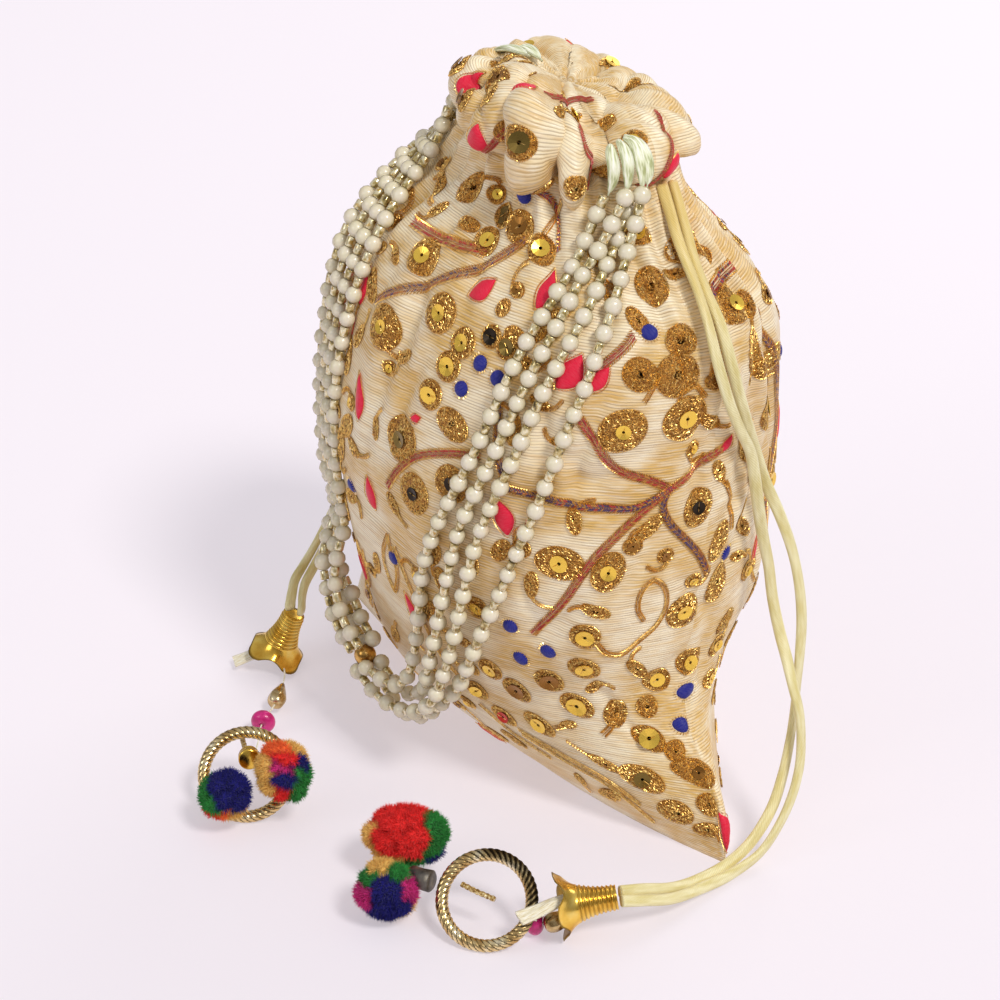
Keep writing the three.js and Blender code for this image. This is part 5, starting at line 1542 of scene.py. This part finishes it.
drop_metal = Finish("drop_metal", Metallic=1.0)
wear = drop_metal.noise(drop_metal.place(), 300, 3)
drop_metal.feed("Base Color", drop_metal.ramp(
    wear, (0.36, dye(150, 116, 66)), (0.55, dye(214, 186, 132)), (0.7, dye(244, 232, 200))))
drop_metal.feed("Roughness", drop_metal.clamped(wear, 0.3, 0.8) * 0.2 + 0.16)
magenta = Finish("magenta_bead", Roughness=0.32, Coat_Weight=0.3)
cloud = magenta.noise(magenta.place(), 380, 3)
magenta.feed("Base Color", magenta.ramp(cloud, (0.35, dye(168, 12, 92)), (0.65, dye(216, 30, 130))))
magenta.relief(cloud, 0.12, 0.5)
ring_metal = Finish("gilt_ring", Metallic=1.0)
depth = ring_metal.painted_shade()
wear = ring_metal.noise(ring_metal.place(), 240, 3)
ring_gilt = ring_metal.ramp(
    wear, (0.36, dye(200, 164, 104)), (0.55, dye(240, 214, 156)), (0.72, dye(255, 244, 212)))
# painted shade: the groove attribute blends the gilt towards near black in the rope grooves and over the
# upper right of the right ring
painted_shade_share = ring_metal.clamped(depth, 0.25, 0.95)
ring_metal.feed("Base Color", ring_metal.blend(painted_shade_share, ring_gilt, dye(34, 26, 16)))
ring_metal.feed("Roughness", 0.18 + depth * 0.35)

for side in ("right", "left"):
    tip, end = (np.array(p, float) for p in DROPS[side])
    points, faces = lathe(DROP_PROFILE, 30, (0, 0, 0), (0, 0, 1))
    turn = np.arctan2(points[:, 1], points[:, 0])
    flute = np.clip((points[:, 2] - 3) / 4, 0, 1) * np.clip((9.6 - points[:, 2]) / 1.2, 0, 1)
    points[:, :2] *= (1 - 0.09 * flute * (1 - np.abs(np.cos(3 * turn))))[:, None]
    drop = piece(f"metal_drop_{side}", stood(points, tip, end - tip), faces, drop_metal.material)
    fixed(drop, side, f"drop_bead_{side}")
    centre, axis = RONDELLES[side]
    turns = [math.radians(24 + 132 * i / 12) for i in range(13)]
    outside = [
        (RONDELLE_RADIUS * math.sin(turn) ** 0.8, -RONDELLE_HALF * math.cos(turn) * 1.08) for turn in turns]
    profile = holed(outside, RONDELLE_HALF, RONDELLE_HOLE, (0.9, 0.8, 0))
    rondelle = piece(f"rondelle_{side}", *lathe(profile, 28, centre, axis), magenta.material)
    fixed(rondelle, side, f"rondelle_bead_{side}")

    centre, turn, tilt = RINGS[side]
    turn, tilt = math.radians(turn), math.radians(tilt)
    first = np.array([math.cos(turn), math.sin(turn), 0])
    second = np.array([-math.sin(turn) * math.cos(tilt), math.cos(turn) * math.cos(tilt), math.sin(tilt)])
    rounds, sides = RING_TWISTS * 8, 18
    u, v = np.meshgrid(turns_of(rounds), turns_of(sides), indexing="ij")
    ridge = np.abs(np.cos((RING_TWISTS * u + TWIST_SLANT * v) / 2))
    section = RING_SECTION * (0.84 + 0.19 * ridge**0.8)
    away = RING_RADIUS + section * np.cos(v)
    x, y, z = away * np.cos(u), away * np.sin(u), section * np.sin(v)
    points = (np.array(centre) + x[..., None] * first + y[..., None] * second
              + z[..., None] * np.cross(first, second))
    faces = strip_faces(rounds, sides)
    last = (rounds - 1) * sides
    faces += [(last + i, last + (i + 1) % sides, (i + 1) % sides, i) for i in range(sides)]
    faces = [face[::-1] for face in faces]
    ring = piece(f"gilt_ring_{side}", points, faces, ring_metal.material)
    painted_shade_upper_right = 0.0
    if side == "right":  # painted shade darkens the upper right outer side of this ring
        painted_shade_upper_right = np.clip(np.cos(u - 0.75) * 2 - 0.3, 0, 1) * np.clip(0.6 + 1.1 * np.cos(v - 0.5), 0, 1)
    # painted shade in the grooves of the rope twist
    groove = np.clip((0.62 - ridge) * 2.6, 0, 1)
    marked(ring, np.clip(groove + painted_shade_upper_right * (0.8 + 0.4 * (1 - ridge)), 0, 1).ravel())
    fixed(ring, side, f"ring_{side}")
    run = run_of(TASSEL_THREADS[side], 0.6)
    string = thread_curve(f"tassel_thread_{side}", run, TASSEL_THREAD, thread_white.material)
    fixed(string, side, None)
    tassel_threads[side] = (string, run)

# --- The ties, caps and yarn tufts ----------------------------------------------------------------
# A stiff end of twisted gold cord shows inside each ring. A metal cap grips the tufts: two lobes of
# trimmed wool yarn on each side, in red, green, navy, magenta, ochre and orange.
TIES = {
    "right": ((69.6, -77.2, 12.4), (73.6, -75.4, 11.8), (78.6, -72.8, 11.2)),
    "left": ((-19.5, -91.4, 13.6), (-16.6, -92.6, 13.9), (-13.2, -94, 14.1)),
}
TIE_DIAMETER, TIE_LAY = 1.45, 3.0
CAPS = {
    "right": ((64.6, -83.2, 12.6), (58.8, -86.2, 12)),
    "left": ((-11.6, -94, 14.6), (-6.8, -96.6, 15.8)),
}
CAP_RADIUS = 3.0
RED_WOOL, GREEN_WOOL, NAVY_WOOL = dye(236, 40, 38), dye(40, 136, 54), dye(12, 10, 112)
OCHRE_WOOL, MAGENTA_WOOL, ORANGE_WOOL = dye(236, 192, 104), dye(204, 40, 124), dye(242, 112, 50)
# the tufts' open face looks up to the front right; colours sit at (across, up, out) on it
TUFT_FACE = np.array([(0.58, 0.82, 0), (-0.40, 0.28, 0.87), (0.71, -0.50, 0.49)])
TUFTS = {
    "right": (
        ((44.7, -77.9, 13.4), (12, 9.5, 9), 45, (
            (RED_WOOL, (-0.2, 0.4, 0.8)), (RED_WOOL, (-0.6, 0.5, 0)), (RED_WOOL, (0.1, 0.0, 1)),
            (RED_WOOL, (-0.6, -0.2, 0.7)), (RED_WOOL, (0.15, 0.9, 0)), (GREEN_WOOL, (0.85, 0.3, 0.4)),
            (GREEN_WOOL, (0.8, -0.2, 0.5)), (GREEN_WOOL, (0.6, 0.5, -0.6)), (OCHRE_WOOL, (-1, 0.1, 0.1)),
            (GREEN_WOOL, (0.1, -0.9, 0.3)), (OCHRE_WOOL, (-0.5, -0.85, 0.3)),
            (NAVY_WOOL, (0.7, -0.7, 0.1)), (MAGENTA_WOOL, (-0.4, 0.2, -0.9)),
            (NAVY_WOOL, (0.3, -0.2, -0.9)),
        )),
        ((58.4, -93.3, 10.1), (8.6, 7.8, 8.4), 45, (
            (NAVY_WOOL, (0, -0.6, 0.8)), (NAVY_WOOL, (-0.3, -0.9, 0.1)), (NAVY_WOOL, (0.5, -0.5, 0.5)),
            (NAVY_WOOL, (0, 0, 1)), (MAGENTA_WOOL, (-0.9, -0.1, 0.4)), (MAGENTA_WOOL, (0.85, 0.1, 0.4)),
            (GREEN_WOOL, (0.4, 0.8, 0.5)), (GREEN_WOOL, (-0.8, 0.5, 0.4)), (OCHRE_WOOL, (-0.3, 0.9, 0.3)),
            (RED_WOOL, (0, 0.2, -1)), (OCHRE_WOOL, (0.4, -0.3, -0.8)),
        )),
    ),
    "left": (
        ((-1.4, -108, 11.2), (7.4, 7, 7.2), 54.9, (
            (NAVY_WOOL, (0, 0.4, 0.9)), (NAVY_WOOL, (0.5, 0.5, 0.5)), (NAVY_WOOL, (0.2, -0.1, 1)),
            (NAVY_WOOL, (0.7, -0.3, 0.6)), (GREEN_WOOL, (-0.9, 0.0, 0.3)),
            (GREEN_WOOL, (-0.5, -0.5, 0.7)), (ORANGE_WOOL, (-0.1, -0.95, 0.4)),
            (RED_WOOL, (-0.5, -0.9, 0.2)), (OCHRE_WOOL, (0.5, -0.9, 0.3)), (OCHRE_WOOL, (0, 0, -1)),
        )),
        ((5, -92.6, 17.4), (8.4, 7.8, 9.4), 54.9, (
            (OCHRE_WOOL, (-0.7, -0.1, 0.7)), (OCHRE_WOOL, (-0.55, -0.6, 0.6)),
            (ORANGE_WOOL, (0.0, 0.75, 0.6)), (OCHRE_WOOL, (0.55, 0.85, 0.3)),
            (RED_WOOL, (0.15, 0.5, 0.85)), (MAGENTA_WOOL, (0.0, 0.12, 1)), (NAVY_WOOL, (0.1, -0.3, 0.95)),
            (NAVY_WOOL, (0.75, 0.3, 0.5)), (GREEN_WOOL, (0.8, -0.2, 0.5)),
            (GREEN_WOOL, (0.5, -0.75, 0.5)), (RED_WOOL, (-0.05, -0.85, 0.6)), (OCHRE_WOOL, (0, 0.2, -1)),
        )),
    ),
}

tie_gold = Finish("tie_cord", Metallic=0.6, Roughness=0.4)
speck = tie_gold.noise(tie_gold.place(), 1500, 2)
tie_gold.feed("Base Color", tie_gold.ramp(
    speck, (0.36, dye(140, 104, 52)), (0.52, dye(206, 174, 108)), (0.66, dye(250, 236, 190))))
pewter = Finish("grey_cap", Metallic=0.7)
smear = pewter.noise(pewter.place(), 260, 3)
pewter.feed("Base Color", pewter.ramp(
    smear, (0.35, dye(66, 62, 58)), (0.6, dye(112, 106, 98)), (0.74, dye(160, 152, 134))))
pewter.feed("Roughness", pewter.clamped(smear, 0.3, 0.8) * 0.3 + 0.3)
wool = Finish("wool_yarn", Roughness=0.9, Sheen_Weight=0.08)
# painted shade: noise darkens the yarn towards near black, as shade between its strands
between = wool.clamped(wool.noise(wool.place(), 620, 3), 0.46, 0.8) * 0.3
wool.feed("Base Color", wool.blend(between, wool.dyed(), dye(20, 14, 20), "MULTIPLY"))


def tuft_tree():
    """Stands a fibre on every part of a core, along its normal and leaning a little at random."""
    nodes, core, part, finish, density, lean, seed = begun_tree(
        "tuft", Density="Float", Lean="Float", Seed="Int")
    spread = nodes.tree.nodes.new("GeometryNodeDistributePointsOnFaces")
    for value, name in ((core, "Mesh"), (density, "Density"), (seed, "Seed")):
        nodes.join(value, spread.inputs[name])
    places, normal = Wire(nodes, spread.outputs["Points"]), Wire(nodes, spread.outputs["Normal"])
    sway = nodes.node("FunctionNodeRandomValue", {"data_type": "FLOAT_VECTOR"},
                      {0: (-1, -1, -1), 1: (1, 1, 1), "Seed": seed})
    sway = nodes.node("ShaderNodeVectorMath", {"operation": "SCALE"}, {0: sway, "Scale": lean})
    way = nodes.node("ShaderNodeVectorMath", {"operation": "ADD"}, {0: normal, 1: sway})
    facing = nodes.node("FunctionNodeAlignRotationToVector", {"axis": "Z"}, {"Vector": way})
    size = nodes.node("FunctionNodeRandomValue", {"data_type": "FLOAT"}, {2: 0.5, 3: 1.15, "Seed": seed}, 1)
    placed = nodes.node("GeometryNodeInstanceOnPoints", {}, {
        "Points": places, "Instance": part, "Rotation": facing, "Scale": size})
    both = nodes.node("GeometryNodeJoinGeometry", {}, {"Geometry": core})
    nodes.join(placed, both.socket.node.inputs["Geometry"])
    return ended_tree(nodes, both, finish)


def tuft_core(name, centre, size, turn, colours, seed):
    """A lumpy ball of yarn clumps, with the colour of the nearest hank at each point."""
    rows, sides = 26, 40
    profile = [(math.sin(math.pi * i / rows), -math.cos(math.pi * i / rows)) for i in range(rows + 1)]
    points, faces = lathe(profile, sides, (0, 0, 0), (0, 0, 1))
    random = np.random.default_rng(seed)
    clumps = random.normal(size=(34, 3))
    clumps /= np.linalg.norm(clumps, axis=1, keepdims=True)
    nearness = np.sort(points @ clumps.T, axis=1)
    ridge = np.clip((nearness[:, -1] - nearness[:, -2]) / 0.09, 0, 1)
    near = [points @ (np.array(spot) / np.linalg.norm(spot) @ TUFT_FACE) for _, spot in colours]
    near = np.array(near) + 0.05 * np.sin(points @ random.normal(size=(3, len(colours))) * 9).T
    ranked = np.sort(near, axis=0)
    hank = np.clip((ranked[-1] - ranked[-2]) / 0.16, 0, 1)
    reach = random.uniform(-0.07, 0.07, len(colours))[np.argmax(near, axis=0)]
    swell = 0.66 + 0.2 * hank**0.55 + 0.08 * ridge**0.6 + reach
    chosen = np.array([colour for colour, _ in colours])[np.argmax(near, axis=0)]
    cosine, sine = math.cos(math.radians(turn)), math.sin(math.radians(turn))
    about = np.array([[cosine, sine, 0], [-sine, cosine, 0], [0, 0, 1]])
    placed = points * swell[:, None] @ about.T * size @ about + np.array(centre)
    core = piece(name, placed, faces)
    dyed(core.data, chosen)
    return core


fibre_points = [(0.16, 0, 0), (-0.08, 0.139, 0), (-0.08, -0.139, 0), (0, 0, 1.7)]
fibre = piece("fibre", fibre_points, [(0, 1, 3), (1, 2, 3), (2, 0, 3), (0, 2, 1)], smooth=False)
tuft = tuft_tree()
for side in ("right", "left"):
    run = run_of(TIES[side], 0.22)
    turns = turns_of(14)

    def section(i, length):
        lobed = TIE_DIAMETER / 2 * (0.8 + 0.28 * np.abs(np.cos(turns - 2 * math.pi * length / TIE_LAY)))
        return np.stack([lobed * np.cos(turns), lobed * np.sin(turns)], -1)

    tie_end = piece(f"tie_end_{side}", *swept(run, section), tie_gold.material)
    fixed(tie_end, side, f"tie_{side}")
    start, end = (np.array(p, float) for p in CAPS[side])
    length = np.linalg.norm(end - start)
    if side == "right":
        profile = [
            (0, 0.3), (0.8, 0), (CAP_RADIUS - 0.5, 0), (CAP_RADIUS, 0.4), (CAP_RADIUS - 0.15, length * 0.5),
            (CAP_RADIUS, length - 0.4), (CAP_RADIUS - 0.5, length), (1.2, length), (0, length - 0.3),
        ]
    else:
        profile = [
            (0, 0), (1.1, 0.15), (2.1, 0.8), (2.75, 1.8), (CAP_RADIUS, 3), (CAP_RADIUS - 0.3, 3.3),
            (CAP_RADIUS - 0.3, 3.7), (CAP_RADIUS, 4.0), (CAP_RADIUS, length - 0.2),
            (CAP_RADIUS - 0.4, length), (0, length),
        ]
    metal = pewter if side == "right" else brass
    cap = piece(f"tuft_cap_{side}", *lathe(profile, 30, start, end - start), metal.material)
    if side == "left":
        # painted shade in the groove round the collar of the left cap
        away = (np.array([list(v.co) for v in cap.data.vertices]) / MM - start) @ (end - start) / length
        marked(cap, np.clip(1 - np.abs(away - 3.5) / 0.35, 0, 1) * 0.95)
    fixed(cap, side, f"cap_bead_{side}")
    if side == "right":
        collar = [(0, -0.2), (1.9, -0.2), (2.3, 0.1), (2.3, 0.7), (1.9, 1.0), (0, 1.0)]
        crimp = piece("tuft_crimp_right", *lathe(collar, 24, end, end - start), gilt.material)
        fixed(crimp, side, None)
    for number, (centre, size, turn, colours) in enumerate(TUFTS[side], 1):
        seed = number + 10 * (side == "left")
        core = tuft_core(f"wool_tuft_{side}_{number}", centre, size, turn, colours, seed)
        ball = settled(core, tuft, Piece=fibre, Density=8e6, Lean=0.6, Seed=number, Finish=wool.material)
        fixed(ball, side, f"pompom_{side}_{number}")
bpy.data.objects.remove(fibre)

# Each pair of cords ends in its bell; the fine thread under the bell carries the rest of the tassel.
for (side, number), (cord, run) in cords.items():
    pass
for side, (string, run) in tassel_threads.items():
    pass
